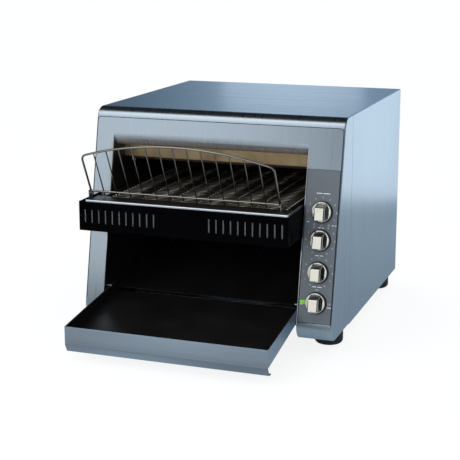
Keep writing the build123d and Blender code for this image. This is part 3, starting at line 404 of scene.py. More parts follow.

# %% [markdown]
# ## Enamel, paint, print and rubber
#
# The guard is gloss black powder coat, which levels to a faint orange peel. Inside, satin
# black enamel takes a brown cast from crumbs and heat. The control plate is dark printed
# polycarbonate with a fine leather-like grain that spreads its shine, and the feet are
# moulded rubber with almost no shine at all. Black plastic parts are moulded ABS, dull and
# even, and the rings of painted shadow under the dials share that finish. The motor's
# sprayed enamel is smoother. Nylon lets a little light in and looks soft, alumina is matt
# and chalky, mineral wool is a loose felt, and the glass sleeve a tight dark braid. Solder
# resist is a shiny green film. Screen ink dries flat and pale, and primer is a plain grey
# satin. All are two close colours, a drift in roughness and a grain of one real size, so
# one function makes them and each call says its sizes in millimetres.


# %% Coatings, plastics and rubber
def coated(name, colour, other, roughness, drift, feature, height, detail=3.0, **more):
    """Two close colours in clouds about 60 mm wide, and a bump of feature mm and height mm."""
    material, tree, shader, coords = start_finish(name, colour, 0.0, roughness, **more)
    broad = add(tree, "ShaderNodeTexNoise", {
        "Vector": coords["Object"], "Scale": per_metre(60), "Detail": detail})
    grain = add(tree, "ShaderNodeTexNoise", {
        "Vector": coords["Object"], "Scale": per_metre(feature), "Detail": 2.0})
    tone = add(tree, "ShaderNodeMix", {
        0: broad.outputs["Fac"], 6: linear(colour), 7: linear(other)}, data_type="RGBA")
    rough = add(tree, "ShaderNodeMapRange", {
        "Value": broad.outputs["Fac"], "From Min": 0.3, "From Max": 0.7,
        "To Min": roughness - drift, "To Max": roughness + drift})
    edge = add(tree, "ShaderNodeBevel", {"Radius": 0.0005}, samples=4)
    bump = add(tree, "ShaderNodeBump", {
        "Strength": 0.4, "Distance": height / 1000, "Height": grain.outputs["Fac"],
        "Normal": edge.outputs[0]})
    feed(tree, shader, Base_Color=tone.outputs[2], Roughness=rough.outputs[0], Normal=bump.outputs[0])
    return material


powder_black = coated(
    "gloss_black_powder_coat", "#020203", "#060607", 0.16, 0.04, 3.0, 0.02, Specular_IOR_Level=0.01)
enamel_black = coated("satin_black_enamel", "#0A0B0D", "#171311", 0.4, 0.08, 1.6, 0.03)
plate_print = coated("printed_polycarbonate", "#5C636A", "#666D74", 0.42, 0.04, 2.4, 0.06)
feet_rubber = coated("moulded_nitrile_rubber", "#101112", "#191A1B", 0.72, 0.06, 1.0, 0.05)
abs_black = coated("moulded_black_abs", "#17181A", "#1E2022", 0.5, 0.05, 1.0, 0.04)
motor_black = coated("motor_enamel", "#1A1C1F", "#22252A", 0.38, 0.06, 2.0, 0.04)
nylon = coated("natural_nylon", "#D8D5C8", "#CCC8BA", 0.4, 0.05, 2.0, 0.02, Subsurface_Weight=0.1)
alumina = coated("alumina_ceramic", "#DAD5C9", "#CBC4B5", 0.7, 0.06, 1.0, 0.05)
wool = coated("mineral_wool", "#BDB59B", "#9F9678", 0.95, 0.03, 3.0, 1.2, detail=8.0)
sleeve = coated("braided_glass_sleeve", "#1B1B1D", "#2C2C30", 0.8, 0.05, 1.2, 0.2)
board_green = coated("solder_resist", "#0F4A2A", "#155A35", 0.3, 0.05, 4.0, 0.05)
ink = coated("screen_ink_pale", "#E9ECEE", "#DDE2E5", 0.5, 0.05, 1.0, 0.005)
primer = coated("grey_zinc_primer", "#8B9398", "#7A8287", 0.6, 0.05, 3.0, 0.02)
print("coatings and mouldings: 13")


# %% [markdown]
# ## The lamp lens
#
# A neon lamp sits behind green acrylic, so the whole lens glows a little and its surface
# stays glossy. A weak emission in the lens's own colour does this without another lamp.


# %% Lens finish
def glowing_lens():
    """Green acrylic lit from inside, brighter in the middle of each 4 mm facet."""
    material, tree, shader, coords = start_finish("green_acrylic_lens", "#6CC227", 0.0, 0.18, IOR=1.49)
    facets = add(tree, "ShaderNodeTexVoronoi", {
        "Vector": coords["Object"], "Scale": per_metre(4)}, feature="F1")
    glow = add(tree, "ShaderNodeMix", {
        0: facets.outputs["Distance"], 6: linear("#86D83C"), 7: linear("#55AF1B")}, data_type="RGBA")
    feed(tree, shader, Base_Color=glow.outputs[2], Emission_Color=glow.outputs[2])
    shader.inputs["Emission Strength"].default_value = 0.12
    return material


lens_green = glowing_lens()
print("made:", lens_green.name)

# %% [markdown]
# ## Dressing the CAD nodes
#
# Each node takes the finish of its material slot. The stainless slot is split, because the
# roll direction and the tone differ between the face, the wrap and the tray, and the face
# also carries the painted reflection over the mouth.

# %% Give every node its finish
finish_of_slot = {
    "stainless": steel_wrap, "zinc_steel": zinc, "black_enamel": enamel_black,
    "gloss_black": powder_black, "tinted_steel": tinted_steel, "wool": wool,
    "element_sheath": sheath, "ceramic": alumina, "bright_wire": rack_wire,
    "turned_steel": shaft_steel, "bronze": bronze, "polished": nose_steel,
    "knob_chrome": knob_chrome, "black_rubber": feet_rubber, "overlay_print": plate_print,
    "lamp_green": lens_green, "black_plastic": abs_black, "motor_paint": motor_black,
    "white_nylon": nylon, "circuit_board": board_green, "loom_sleeve": sleeve,
}
finish_of_node = {
    "front_cap": steel_face, "discharge_tray": steel_tray, "feed_side_trim": steel_trim,
}
for name, thing in nodes.items():
    finish = finish_of_node.get(name, finish_of_slot[slot_of[name]])
    thing.data.materials.clear()
    thing.data.materials.append(finish)
print("dressed:", len(nodes), "nodes")

# %% [markdown]
# ## Making a mesh from arrays
#
# Wires, sheets and marks are grids of points worked out with numpy. Modelling by hand would
# give the same shapes, but a formula says where every point comes from. One helper lists a
# tube's faces. The other makes the mesh, turns its faces outward and puts it on a CAD body.


# %% Mesh from a grid of points
def tube_faces(rings, sides):
    """Quads between neighbouring rings of one tube; its ends are left for the caller to close."""
    ring, side = np.meshgrid(np.arange(rings - 1), np.arange(sides), indexing="ij")
    here = ring * sides + side
    turn = ring * sides + (side + 1) % sides
    return np.stack([here, turn, turn + sides, here + sides], -1).reshape(-1, 4)


def mesh_piece(name, points, faces, finish, body, slot, smooth=True):
    """An object from points in metres and a list of faces, riding on a body."""
    mesh = bpy.data.meshes.new(name)
    mesh.from_pydata(np.asarray(points).reshape(-1, 3).tolist(), [], [list(f) for f in faces])
    mesh.validate()
    build = bmesh.new()
    build.from_mesh(mesh)
    bmesh.ops.recalc_face_normals(build, faces=build.faces)
    build.to_mesh(mesh)
    build.free()
    mesh.materials.append(finish)
    mesh.polygons.foreach_set("use_smooth", np.full(len(mesh.polygons), smooth))
    piece = bpy.data.objects.new(name, mesh)
    bpy.context.scene.collection.objects.link(piece)
    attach(piece, body)
    print(name, len(mesh.polygons), "faces")
    return piece


print("a tube of 3 rings and 6 sides has", len(tube_faces(3, 6)), "faces")

# %% [markdown]
# ## The wire belt
#
# A toaster's belt is a ladder of wire strands. Every strand crosses the whole width and
# jogs at a few places towards the strand before it, so that each hooks into the next. The
# strand's line is worked out as: distance round the loop = its own place minus the jog, and
# place across = a straight line from side to side. The jog is a flat-topped bump with soft
# shoulders. The loop is the chain of rod centres round the two sprocket sets. A bevelled
# curve for each strand would look the same, but here one array holds all of them.

# %% Belt sizes, in mm
# Rod spacing, teeth on a sprocket, spacings in one level run, a strand's radius and its sides
PITCH = 12.7
TEETH = 8
STEPS = 34
STRAND = 0.95
SIDES = 6
# Joints across the belt, their inset, a jog's depth as a share of the rod spacing, and the
# start, middle and end of its shoulder
JOINTS = 7
JOINT_INSET = 4
JOG = 0.8
EDGES = np.array([1.8, 3.0, 4.2])
belt_low, belt_high = (np.array(corner) * 1000 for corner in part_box("conveyor_belt"))
wheel_flat = PITCH / (2 * math.tan(math.pi / TEETH))
wheel_round = PITCH / (2 * math.sin(math.pi / TEETH))
axle_height = (belt_low[2] + belt_high[2]) / 2
front_axle = (belt_low[1] + belt_high[1]) / 2 - STEPS * PITCH / 2
print("belt axles:", round(STEPS * PITCH, 1), "mm apart,", round(axle_height, 1), "mm up")


def belt_loop():
    """Rod centres in order round the loop, as an array of (y, z)."""
    along = (np.arange(STEPS) + 0.5) * PITCH
    turn = math.pi / TEETH * (2 * np.arange(TEETH // 2) + 1)
    top = np.stack([front_axle + along, np.full(STEPS, axle_height + wheel_flat)], 1)
    rear = np.stack([
        front_axle + STEPS * PITCH + wheel_round * np.sin(turn),
        axle_height + wheel_round * np.cos(turn)], 1)
    under = np.stack([front_axle + along[::-1], np.full(STEPS, axle_height - wheel_flat)], 1)
    front = np.stack([
        front_axle - wheel_round * np.sin(turn), axle_height - wheel_round * np.cos(turn)], 1)
    return np.concatenate([top, rear, under, front])


# %% Belt strands
def wire_strands():
    """Tubes round each strand: centre = loop(place - jog(x)), ring = radius * (cos a, sin a)."""
    loop = belt_loop()
    count = len(loop)
    closed = np.concatenate([loop, loop[:1]])
    joints = np.linspace(belt_low[0] + JOINT_INSET, belt_high[0] - JOINT_INSET, JOINTS)
    x = np.unique(np.concatenate([
        [belt_low[0], belt_high[0]],
        (joints[:, None] + np.concatenate([-EDGES[::-1], EDGES])).ravel()]))
    x = x[(x >= belt_low[0]) & (x <= belt_high[0])]
    nearest = np.abs(x[:, None] - joints).min(1)
    jog = JOG * np.clip((EDGES[2] - nearest) / (EDGES[2] - EDGES[0]), 0, 1)
    place = (np.arange(count)[:, None] - jog[None, :]) % count
    y = np.interp(place, np.arange(count + 1), closed[:, 0])
    z = np.interp(place, np.arange(count + 1), closed[:, 1])
    centre = np.stack([np.broadcast_to(x, y.shape), y, z], -1)
    step = np.gradient(centre, axis=1)
    step /= np.linalg.norm(step, axis=2, keepdims=True)
    # Outward is away from the loop's middle, and straight up or down on the level runs
    middle = loop.mean(0)
    outward = centre - np.array([0, middle[0], middle[1]])
    outward[..., 0] = 0
    outward[..., 1] *= np.abs(outward[..., 2]) < wheel_flat * 0.98
    first = outward / np.linalg.norm(outward, axis=2, keepdims=True)
    second = np.cross(step, first)
    second /= np.linalg.norm(second, axis=2, keepdims=True)
    first = np.cross(second, step)
    angle = np.arange(SIDES) * 2 * math.pi / SIDES
    ring = centre[:, :, None] + STRAND * (
        first[:, :, None] * np.cos(angle)[:, None] + second[:, :, None] * np.sin(angle)[:, None])
    rings = len(x)
    start = np.arange(count) * rings * SIDES
    tubes = tube_faces(rings, SIDES)[None] + start[:, None, None]
    ends = np.arange(SIDES) + start[:, None]
    return ring / 1000, [*tubes.reshape(-1, 4), *ends[:, ::-1], *(ends + (rings - 1) * SIDES)]


belt = mesh_piece("wire_belt", *wire_strands(), belt_wire, "cabinet", "bright_wire")
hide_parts("conveyor_belt")

# %% [markdown]
# ## Belt edge eyes
#
# Each strand ends in a small closed eye that hooks into its neighbour, and the eyes are
# drawn in a paler, duller finish than the rest of the belt. A bent ring would cost hundreds
# of faces at each of 152 places, so an eye is one dome-ended bead, worked out once and added
# to every place in one step.


# %% Belt edge eyes
def edge_eyes(x_places, radius, tip=0.05, sides=8):
    """Bead on each strand's end: a ring of radius * cos t, at least tip, at x + radius * sin t."""
    loop = belt_loop()
    lift = np.linspace(-math.pi / 2, math.pi / 2, 5)
    angle = np.arange(sides) * 2 * math.pi / sides
    reach = np.maximum(radius * np.cos(lift), tip)[:, None]
    dome = np.stack(np.broadcast_arrays(
        radius * np.sin(lift)[:, None], reach * np.cos(angle), reach * np.sin(angle)), -1).reshape(-1, 3)
    places = np.array([(x, y, z) for x in x_places for y, z in loop])
    start = np.arange(len(places))[:, None] * len(dome)
    tube = (tube_faces(len(lift), sides)[None] + start[:, :, None]).reshape(-1, 4)
    first = start + np.arange(sides)[::-1]
    last = start + len(dome) - sides + np.arange(sides)
    return (places[:, None] + dome) / 1000, [*tube, *first, *last]


EYE = 2.0
eyes = edge_eyes((belt_low[0] + EYE, belt_high[0] - EYE), EYE)
mesh_piece("belt_edge_eyes", *eyes, pale_eye_steel, "cabinet", "bright_wire")

# %% [markdown]
# ## Small folded sheets
#
# Small folded sheets finish the toaster. A plain strip stands a little way behind each
# group of slots in the guard, so that light bounces back out of them. An apron closes the
# gap between the base and the tray's rear edge, and reaches far enough forward to cover
# it while the tray is pulled out. It fits between the tray's two supports, and a short ear
# beside each end fills the corner behind the support. A Solidify modifier on a folded
# plane would do, but the fold is the same all along, so each is a line in the YZ plane,
# thickened on one side and carried along X. That gives a closed shell with no modifier.


# %% Sweep a folded line into a sheet
def folded_sheet(name, x0, x1, line, thickness, finish, slot):
    """Ring = the line's point at x0 and x1, then both moved by thickness * the line's normal."""
    line = np.asarray(line, float)
    count = len(line)
    step = np.gradient(line, axis=0)
    step /= np.linalg.norm(step, axis=1, keepdims=True)
    other = line + thickness * np.stack([-step[:, 1], step[:, 0]], 1)
    corners = ((x0, line), (x1, line), (x1, other), (x0, other))
    rings = np.stack([np.column_stack([np.full(count, x), edge]) for x, edge in corners], 1)
    ring = np.arange(4)
    faces = [*tube_faces(count, 4), ring[::-1], ring + 4 * (count - 1)]
    return mesh_piece(name, rings / 1000, faces, finish, "cabinet", slot, smooth=False)


# %% Slot strips and crumb apron
# Sheet thickness, a strip's length, its inset from the guard's edges and from its front, in mm
SHEET = 0.8
STRIP = 149
STRIP_INSET = 8
STRIP_BEHIND = 3.4
guard_low, guard_high = (np.array(corner) * 1000 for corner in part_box("front_guard"))


def strip_line(y, z0, z1, flange, bend):
    """Flange, quarter circle, upright panel, quarter circle, flange."""
    angle = np.linspace(0, math.pi / 2, 5)
    low = np.stack([y + bend * (1 - np.sin(angle)), z0 + bend * (1 - np.cos(angle))], 1)
    high = np.stack([low[::-1, 0], z0 + z1 - low[::-1, 1]], 1)
    return np.concatenate([[[y + flange, z0]], low, high, [[y + flange, z1]]])


for side, start in (("left", guard_low[0] + STRIP_INSET), ("right", guard_high[0] - STRIP_INSET - STRIP)):
    line = strip_line(
        guard_low[1] + STRIP_BEHIND, guard_low[2] + STRIP_INSET, guard_high[2] - STRIP_INSET,
        flange=6, bend=2)
    folded_sheet("slot_strip_" + side, start, start + STRIP, line, -SHEET, primer, "zinc_steel")

# Folds of the apron as (Y, Z) in mm, from the base's edge forward, and the part the ears share
APRON_LINE = [
    (-71.2, 31.5), (-75, 32.6), (-147, 63.2), (-150, 64.2),
    (-153, 64.0), (-191, 57.4), (-193, 56.4), (-194, 53)]
EAR_LINE = [*APRON_LINE[:2], (-146.6, 63.0)]
# Their ends along X and the gap between them
APRON_ENDS = (-198.2, 169.2)
EAR_ENDS = (-207, 178)
EAR_GAP = 0.2
for name, start, end, line in (
        ("crumb_apron", *APRON_ENDS, APRON_LINE),
        ("apron_ear_left", EAR_ENDS[0], APRON_ENDS[0] - EAR_GAP, EAR_LINE),
        ("apron_ear_right", APRON_ENDS[1] + EAR_GAP, EAR_ENDS[1], EAR_LINE)):
    folded_sheet(name, start, end, line, SHEET, enamel_black, "black_enamel")

# %% [markdown]
# ## Edges and seams of the face
#
# The mouth's sheared edges are rolled back and polished, so each one catches the light as
# a thin bright line. The face panel also meets the casing in a thin joint that runs up one
# side, under the brow and down the other, and a black bead along it paints the shade in the
# joint's gap. The control plate has a raised dark rim. A bevelled curve object would draw
# them too, but each needs closed, rounded ends, so all are round beads that follow a path on
# the leaning face: rings round each point, shrinking to a dome at either end.

# %% Places on the leaning face
# Height, lean from upright, and the bend from roof to face: its start (Y) and radius, in mm
TOP = round(cad_box[1][2] * 1000, 1)
TILT = math.radians(11.6)
BROW = -103.5
BEND = 23
CORNER = BROW - BEND * math.tan((math.pi / 2 - TILT) / 2)
OUTWARD = np.array([0, -math.cos(TILT), math.sin(TILT)])
UPWARD = np.array([0, math.sin(TILT), math.cos(TILT)])


def on_face(x, z, right=0, up=0, out=0):
    """Point = face(x, z) + right * X + up * slope + out * normal, for numbers or arrays."""
    right, up = np.broadcast_arrays(np.asarray(right, float), np.asarray(up, float))
    base = np.array([x, CORNER - (TOP - z) * math.tan(TILT), z])
    return base + right[..., None] * np.array([1.0, 0, 0]) + up[..., None] * UPWARD + out * OUTWARD


print("face meets the roof's level at Y =", round(CORNER, 1), "mm")


# %% Beads on the face
def bead(name, path, radius, finish, slot, sides=8, dome=4):
    """Ring = point + radius * size * (cos a * normal + sin a * across); size runs 0 to 1 at the ends."""
    path = np.asarray(path, float)
    step = np.gradient(path, axis=0)
    step /= np.linalg.norm(step, axis=1, keepdims=True)
    size = np.sin(np.linspace(0.1, math.pi / 2, dome))
    inset = radius * (1 - np.sqrt(1 - size ** 2))[:, None]
    start = path[0] + step[0] * inset
    end = path[-1] - step[-1] * inset[::-1]
    centre = np.concatenate([start, path[1:-1], end])
    step = np.concatenate([np.repeat(step[:1], dome, 0), step[1:-1], np.repeat(step[-1:], dome, 0)])
    size = np.concatenate([size, np.ones(len(path) - 2), size[::-1]])
    across = np.cross(step, OUTWARD)
    angle = np.arange(sides) * 2 * math.pi / sides
    ring = OUTWARD * np.cos(angle)[:, None] + across[:, None] * np.sin(angle)[:, None]
    points = centre[:, None] + radius * size[:, None, None] * ring
    last = (len(centre) - 1) * sides
    ends = [list(range(sides))[::-1], [last + i for i in range(sides)]]
    faces = [*tube_faces(len(centre), sides).tolist(), *ends]
    return mesh_piece(name, points / 1000, faces, finish, "cabinet", slot)


# The mouth's sides along X, the heights of the beads' points and the beads' radius, in mm
MOUTH = {"left": -208.0, "right": 179.0}
MOUTH_HEIGHTS = (214, 140, 62)
MOUTH_BEAD = 1.1
for side, x in MOUTH.items():
    path = [on_face(x, z) for z in MOUTH_HEIGHTS]
    bead("mouth_bead_" + side, path, MOUTH_BEAD, nose_steel, "polished")


# %% Plate rim and the painted shade of the panel seam
# The plate's thickness, the radii of its rim and of the seam, and the rim's sides, in mm
PLATE = 0.5
RIM_BEAD = 0.5
SEAM_BEAD = 0.65
left, right, low, high = 180.7, 241.8, 66.3, 338.7
RIM = [
    (left, low), (left, 200), (left, high), (right, high), (right, 200), (right, low),
    (200, low), (left + 1.3, low)]
rim_path = [on_face(x, z, out=PLATE) for x, z in RIM]
bead("plate_border", rim_path, RIM_BEAD, powder_black, "overlay_print", sides=6)


def seam_path(left, right, low, high, corner):
    """Up the left side, a quarter circle, along the top, a quarter circle, down the right."""
    turn = np.linspace(0, math.pi / 2, 7)
    inset = [(corner * (1 - math.cos(a)), high - corner * (1 - math.sin(a))) for a in turn]
    near = [on_face(left + across, z) for across, z in inset]
    far = [on_face(right - across, z) for across, z in inset[::-1]]
    return [on_face(left, low), *near, *far, on_face(right, low)]


# A black bead paints the shade in the gap between the face panel and the casing
seam = seam_path(left=-242.6, right=242.2, low=70, high=412, corner=6)
bead("panel_seam_painted_shade", seam, SEAM_BEAD, feet_rubber, "black_rubber", sides=6)

# %% [markdown]
# ## The printed dials
#
# Numbers ring three of the dials, OFF and ON stand by the lowest, and short printed lines
# stand near all four. The print is pale ink, drawn here about a tenth of a millimetre thick
# so that every mark is a closed solid. Text gives the numbers and small rounded bars give
# the lines. A painted image would do for one view, but solid marks stay sharp at any
# distance. Everything lies on the leaning face, so each mark is worked out as right, up and
# out, and turned into a place in space at the end.

# %% Where the dials are
# Dials stand in one column, this far from the casing's right side, at these heights in mm
DIAL_INSET = 32.5
DIAL_X = round(cad_box[1][0] * 1000, 1) - DIAL_INSET
DIALS = {"speed": 264, "upper": 214, "lower": 157, "power": 103}
print("dials:", len(DIALS), "at X =", DIAL_X)

# %% Printed bars
# Half the print's thickness in mm
INK = 0.06


def bar_mark(middle_right, middle_up, length, width):
    """A bar with round ends: two half circles of the bar's width, raised by the ink's depth."""
    angle = np.linspace(-math.pi / 2, math.pi / 2, 6)
    reach = (length - width) / 2
    across, along = np.cos(angle) * width / 2, np.sin(angle) * width / 2
    right = middle_right + np.concatenate([reach + across, -reach - across])
    up = middle_up + np.concatenate([along, -along])
    count = len(right)
    here = np.arange(count)
    sides = np.stack([here, (here + 1) % count, (here + 1) % count + count, here + count], 1)
    faces = [*sides.tolist(), here[::-1].tolist(), (here + count).tolist()]
    out = np.repeat([-INK, INK], count)
    return np.tile(right, 2), np.tile(up, 2), out, faces


# %% Printed text
def text_mark(text, size):
    """Text as a thin solid, centred: its points (right, up, out) in mm and its faces."""
    curve = bpy.data.curves.new("number", "FONT")
    curve.body = text
    curve.size = size
    curve.align_x = "CENTER"
    curve.align_y = "CENTER"
    curve.resolution_u = 2
    curve.extrude = INK
    carrier = bpy.data.objects.new("number", curve)
    mesh = bpy.data.meshes.new_from_object(carrier)
    build = bmesh.new()
    build.from_mesh(mesh)
    bmesh.ops.remove_doubles(build, verts=build.verts, dist=0.001)
    points = np.array([vertex.co for vertex in build.verts])
    faces = [[vertex.index for vertex in face.verts] for face in build.faces]
    build.free()
    bpy.data.objects.remove(carrier)
    bpy.data.curves.remove(curve)
    bpy.data.meshes.remove(mesh)
    return points[:, 0], points[:, 1], points[:, 2], faces


def text_by_dial(dial, text, size, turn, across, above):
    """Text at angle turn from the top: moved by across * sin turn and above * cos turn."""
    right, up, out, faces = text_mark(text, size)
    turn = math.radians(turn)
    right, up = right + across * math.sin(turn), up + above * math.cos(turn)
    return DIAL_X, DIALS[dial], right, up, out, faces


# %% Print on the plate
def print_on_face(name, marks):
    """One piece from many marks, each (x, z, right, up, out, faces), lying on the plate."""
    points, faces, base = [], [], 0
    for x, z, right, up, out, mark_faces in marks:
        points.append((on_face(x, z, right, up, PLATE + INK) + out[:, None] * OUTWARD) / 1000)
        faces += [[base + i for i in face] for face in mark_faces]
        base += len(right)
    return mesh_piece(name, np.concatenate(points), faces, ink, "cabinet", "overlay_print", smooth=False)


# Numbers stand on a ring round each dial, its radius and the letters' height in mm
RING = 26.8
NUMBER = 4.4
marks = [
    text_by_dial(dial, str(number), NUMBER, -150 + 30 * number, RING, RING)
    for dial in ("speed", "upper", "lower") for number in range(11)]
marks += [text_by_dial("power", word, 4.2, turn, 25.0, 23.6) for word, turn in (("OFF", 0), ("ON", 90))]
# A bar's width and the space between bars, then each line of bars: its dial, its middle to
# the right of the dial and above it, and its bars' lengths
BAR = 1.5
SPACE = 1.6
LINES = (
    ("speed", 0, 33.5, (11, 13)), ("speed", -25, -19, (5,)), ("speed", 24, -23, (4, 3)),
    ("upper", 0, 22.6, (5, 4)), ("lower", 0, 30.4, (7, 6)), ("power", 0, 29.0, (8, 9)),
    ("power", 25, -6.5, (8,)), ("power", -27, -4, (6,)))
for dial, side, height, widths in LINES:
    start = side - (sum(widths) + SPACE * (len(widths) - 1)) / 2
    for width in widths:
        marks.append((DIAL_X, DIALS[dial], *bar_mark(start + width / 2, height, width, BAR)))
        start += width + SPACE
print_on_face("dial_print", marks)

# %% [markdown]
# ## Painted shadow rings under the dials
#
# A thin black ring lies under each knob and paints the knob's shadow, a dark edge round
# its skirt. It could be spun with a Screw modifier. Here the profile of radius and height is
# carried round the knob's axis as one grid of points, which closes on itself both ways and
# leaves no seam.


# %% Painted shadow rings under the dials
def bezel(name, z, inner, outer, low, high, turns=48):
    """Point = face(dial) + radius * (cos a * X + sin a * slope) + height * normal.

    The outer top edge is bevelled by 0.4 of the ring's height."""
    lean = (high - low) * 0.4
    profile = [(inner, low), (inner, high), (outer - lean, high), (outer, high - lean), (outer, low)]
    angle = np.arange(turns) * 2 * math.pi / turns
    rings = [on_face(DIAL_X, z, r * np.cos(angle), r * np.sin(angle), h) for r, h in profile]
    ring, side = np.meshgrid(np.arange(len(profile)), np.arange(turns), indexing="ij")
    above = (ring + 1) % len(profile)
    turn = (side + 1) % turns
    quads = np.stack([
        ring * turns + side, above * turns + side, above * turns + turn, ring * turns + turn], -1)
    points = np.concatenate(rings) / 1000
    return mesh_piece(name, points, quads.reshape(-1, 4).tolist(), abs_black, "cabinet", "black_plastic")


# Each black ring paints the knob's shadow on the plate
for dial, z in DIALS.items():
    bezel("dial_shadow_ring_" + dial, z, inner=14, outer=20.4, low=PLATE, high=1.3)

# %% [markdown]
# ## Crumb tray seal
#
# A round rubber strip hangs inside the crumb tray's opening in the back panel, so that no
# light or crumbs pass above the tray. It is the same bead as on the face, laid along X.

# %% Crumb tray seal
# Where the strip runs and its radius, in mm
SEAL_Y, SEAL_Z = 348.6, 52.3
SEAL_BEAD = 1.5
seal_path = [(x, SEAL_Y, SEAL_Z) for x in (-225, 0, 235)]
bead("crumb_seal", seal_path, SEAL_BEAD, feet_rubber, "black_rubber")

# %% [markdown]
# ## Room and light
#
# The toaster stands on a pale floor in a plain studio. One large soft lamp above the
# operator's left gives the shape its light side, the world fills the rest evenly, and
# small weak lamps lift the roof, the side, the face and the dials. The camera sees a
# white background through Is Camera Ray, which costs no extra light on the toaster.
# Brushed steel shows its surroundings more than its own colour, so rays that leave a
# mirror or glass see a studio instead. It has a front wall that is lit high up, a dark
# ceiling, a bright back wall with a window between two darker panels, and a floor that is
# lightest a little way in front of the toaster. That floor also holds a painted shadow just
# in front of the tray and a painted bright strip. They give the tray's front a painted shade
# low down and a painted highlight across its middle.

# %% Tones that mirrors see
# The floor: metres along Y from the toaster's middle
# The dark tone at -0.41 is a painted shadow, which puts painted shade low on the tray's front
FLOOR_TONES_WITH_PAINTED_SHADOW = (
    (-1.6, "#14181B"), (-1.05, "#AAB7C1"), (-0.66, "#C2CFD9"), (-0.5, "#7E888E"), (-0.41, "#363C3E"),
    (-0.3, "#B2BFC9"))
# The walls and ceiling: degrees up from the horizon in front, over the top to the back
ROOM_TONES = (
    (0, "#0B0D0E"), (9, "#0E1114"), (14, "#7E8A92"), (21, "#C4CED6"), (34, "#9AA4AC"), (50, "#C6C5C2"),
    (65, "#FCF9F4"), (77, "#101315"), (154, "#0C0F11"), (161, "#E4F2FC"), (168, "#D8EAF9"),
    (180, "#DDEEFF"))
# The window and its panels, as a share of the wall's tone: degrees to the right of straight
# back, so all of them lie to the left
WINDOW_TONES = (
    (-34, "#FFFFFF"), (-29, "#74828C"), (-24.5, "#7A8892"), (-21.6, "#B0BCC4"), (-18.7, "#EAF0F4"),
    (-16.8, "#FFFFFF"), (-14.9, "#F0F4F8"), (-12.9, "#B8C4CC"), (-10, "#BCC8D0"), (-5, "#EAF0FA"))
print("studio tones:", len(FLOOR_TONES_WITH_PAINTED_SHADOW) + len(ROOM_TONES) + len(WINDOW_TONES))


# %% Rays that mirrors and glass send out
def studio_rays(tree, rays):
    """The larger of Is Glossy Ray and Is Transmission Ray: 1 for rays that see the studio."""
    return add(tree, "ShaderNodeMath", {
        0: rays.outputs["Is Glossy Ray"], 1: rays.outputs["Is Transmission Ray"]},
        operation="MAXIMUM").outputs[0]


# %% Floor
# How much of the floor is plain white to the camera, and toned to mirrors
CAMERA_SHARE = 0.82
MIRROR_SHARE = 0.75
# The tones reach this far in front, and a painted highlight strip runs along this line, in metres
DEPTH = 2.0
PAINTED_HIGHLIGHT_X = -0.08


def pale_floor():
    """A wide floor: mostly white to the camera with the shadow left in, toned to mirrors with a painted
    shadow and a painted highlight strip.
    """
    material = bpy.data.materials.new("pale_floor_paper")
    material.use_nodes = True
    tree = material.node_tree
    tree.nodes.clear()
    rays = add(tree, "ShaderNodeLightPath")
    to_camera = add(tree, "ShaderNodeMath", {
        0: rays.outputs["Is Camera Ray"], 1: CAMERA_SHARE}, operation="MULTIPLY")
    to_mirror = add(tree, "ShaderNodeMath", {
        0: studio_rays(tree, rays), 1: MIRROR_SHARE}, operation="MULTIPLY")
    paper = add(tree, "ShaderNodeBsdfDiffuse", {"Color": linear("#F2F3F4")})
    white = add(tree, "ShaderNodeEmission", {"Color": (1, 1, 1, 1), "Strength": 1.05})
    coords = add(tree, "ShaderNodeTexCoord")
    place = add(tree, "ShaderNodeSeparateXYZ", {0: coords.outputs["Object"]})
    share = add(tree, "ShaderNodeMapRange", {
        "Value": place.outputs["Y"], "From Min": -DEPTH, "From Max": 0.0})
    # Mirrors see these tones, including the painted shadow in front of the tray
    tone = add(tree, "ShaderNodeValToRGB", {0: share.outputs[0]}, tones=[
        (1 + y / DEPTH, colour) for y, colour in FLOOR_TONES_WITH_PAINTED_SHADOW])
    aside = add(tree, "ShaderNodeMath", {0: place.outputs["X"], 1: PAINTED_HIGHLIGHT_X}, operation="SUBTRACT")
    distance = add(tree, "ShaderNodeMath", {0: aside.outputs[0]}, operation="ABSOLUTE")
    # The floor glows up to 1.7 times as bright near this line: a painted highlight across the tray's
    # front
    bright = add(tree, "ShaderNodeMapRange", {
        "Value": distance.outputs[0], "From Min": 0.02, "From Max": 0.2, "To Min": 1.7, "To Max": 0.95},
        interpolation_type="SMOOTHSTEP")
    toned = add(tree, "ShaderNodeEmission", {
        "Color": tone.outputs[0], "Strength": bright.outputs[0]})
    mixed = add(tree, "ShaderNodeMixShader", {
        0: to_mirror.outputs[0], 1: paper.outputs[0], 2: toned.outputs[0]})
    mixed = add(tree, "ShaderNodeMixShader", {
        0: to_camera.outputs[0], 1: mixed.outputs[0], 2: white.outputs[0]})
    add(tree, "ShaderNodeOutputMaterial", {0: mixed.outputs[0]})
    mesh = bpy.data.meshes.new("floor")
    mesh.from_pydata([(-30, -30, 0), (30, -30, 0), (30, 30, 0), (-30, 30, 0)], [], [(0, 1, 2, 3)])
    mesh.materials.append(material)
    floor = bpy.data.objects.new("floor", mesh)
    bpy.context.scene.collection.objects.link(floor)
    return floor


print("floor:", pale_floor().data.materials[0].name)


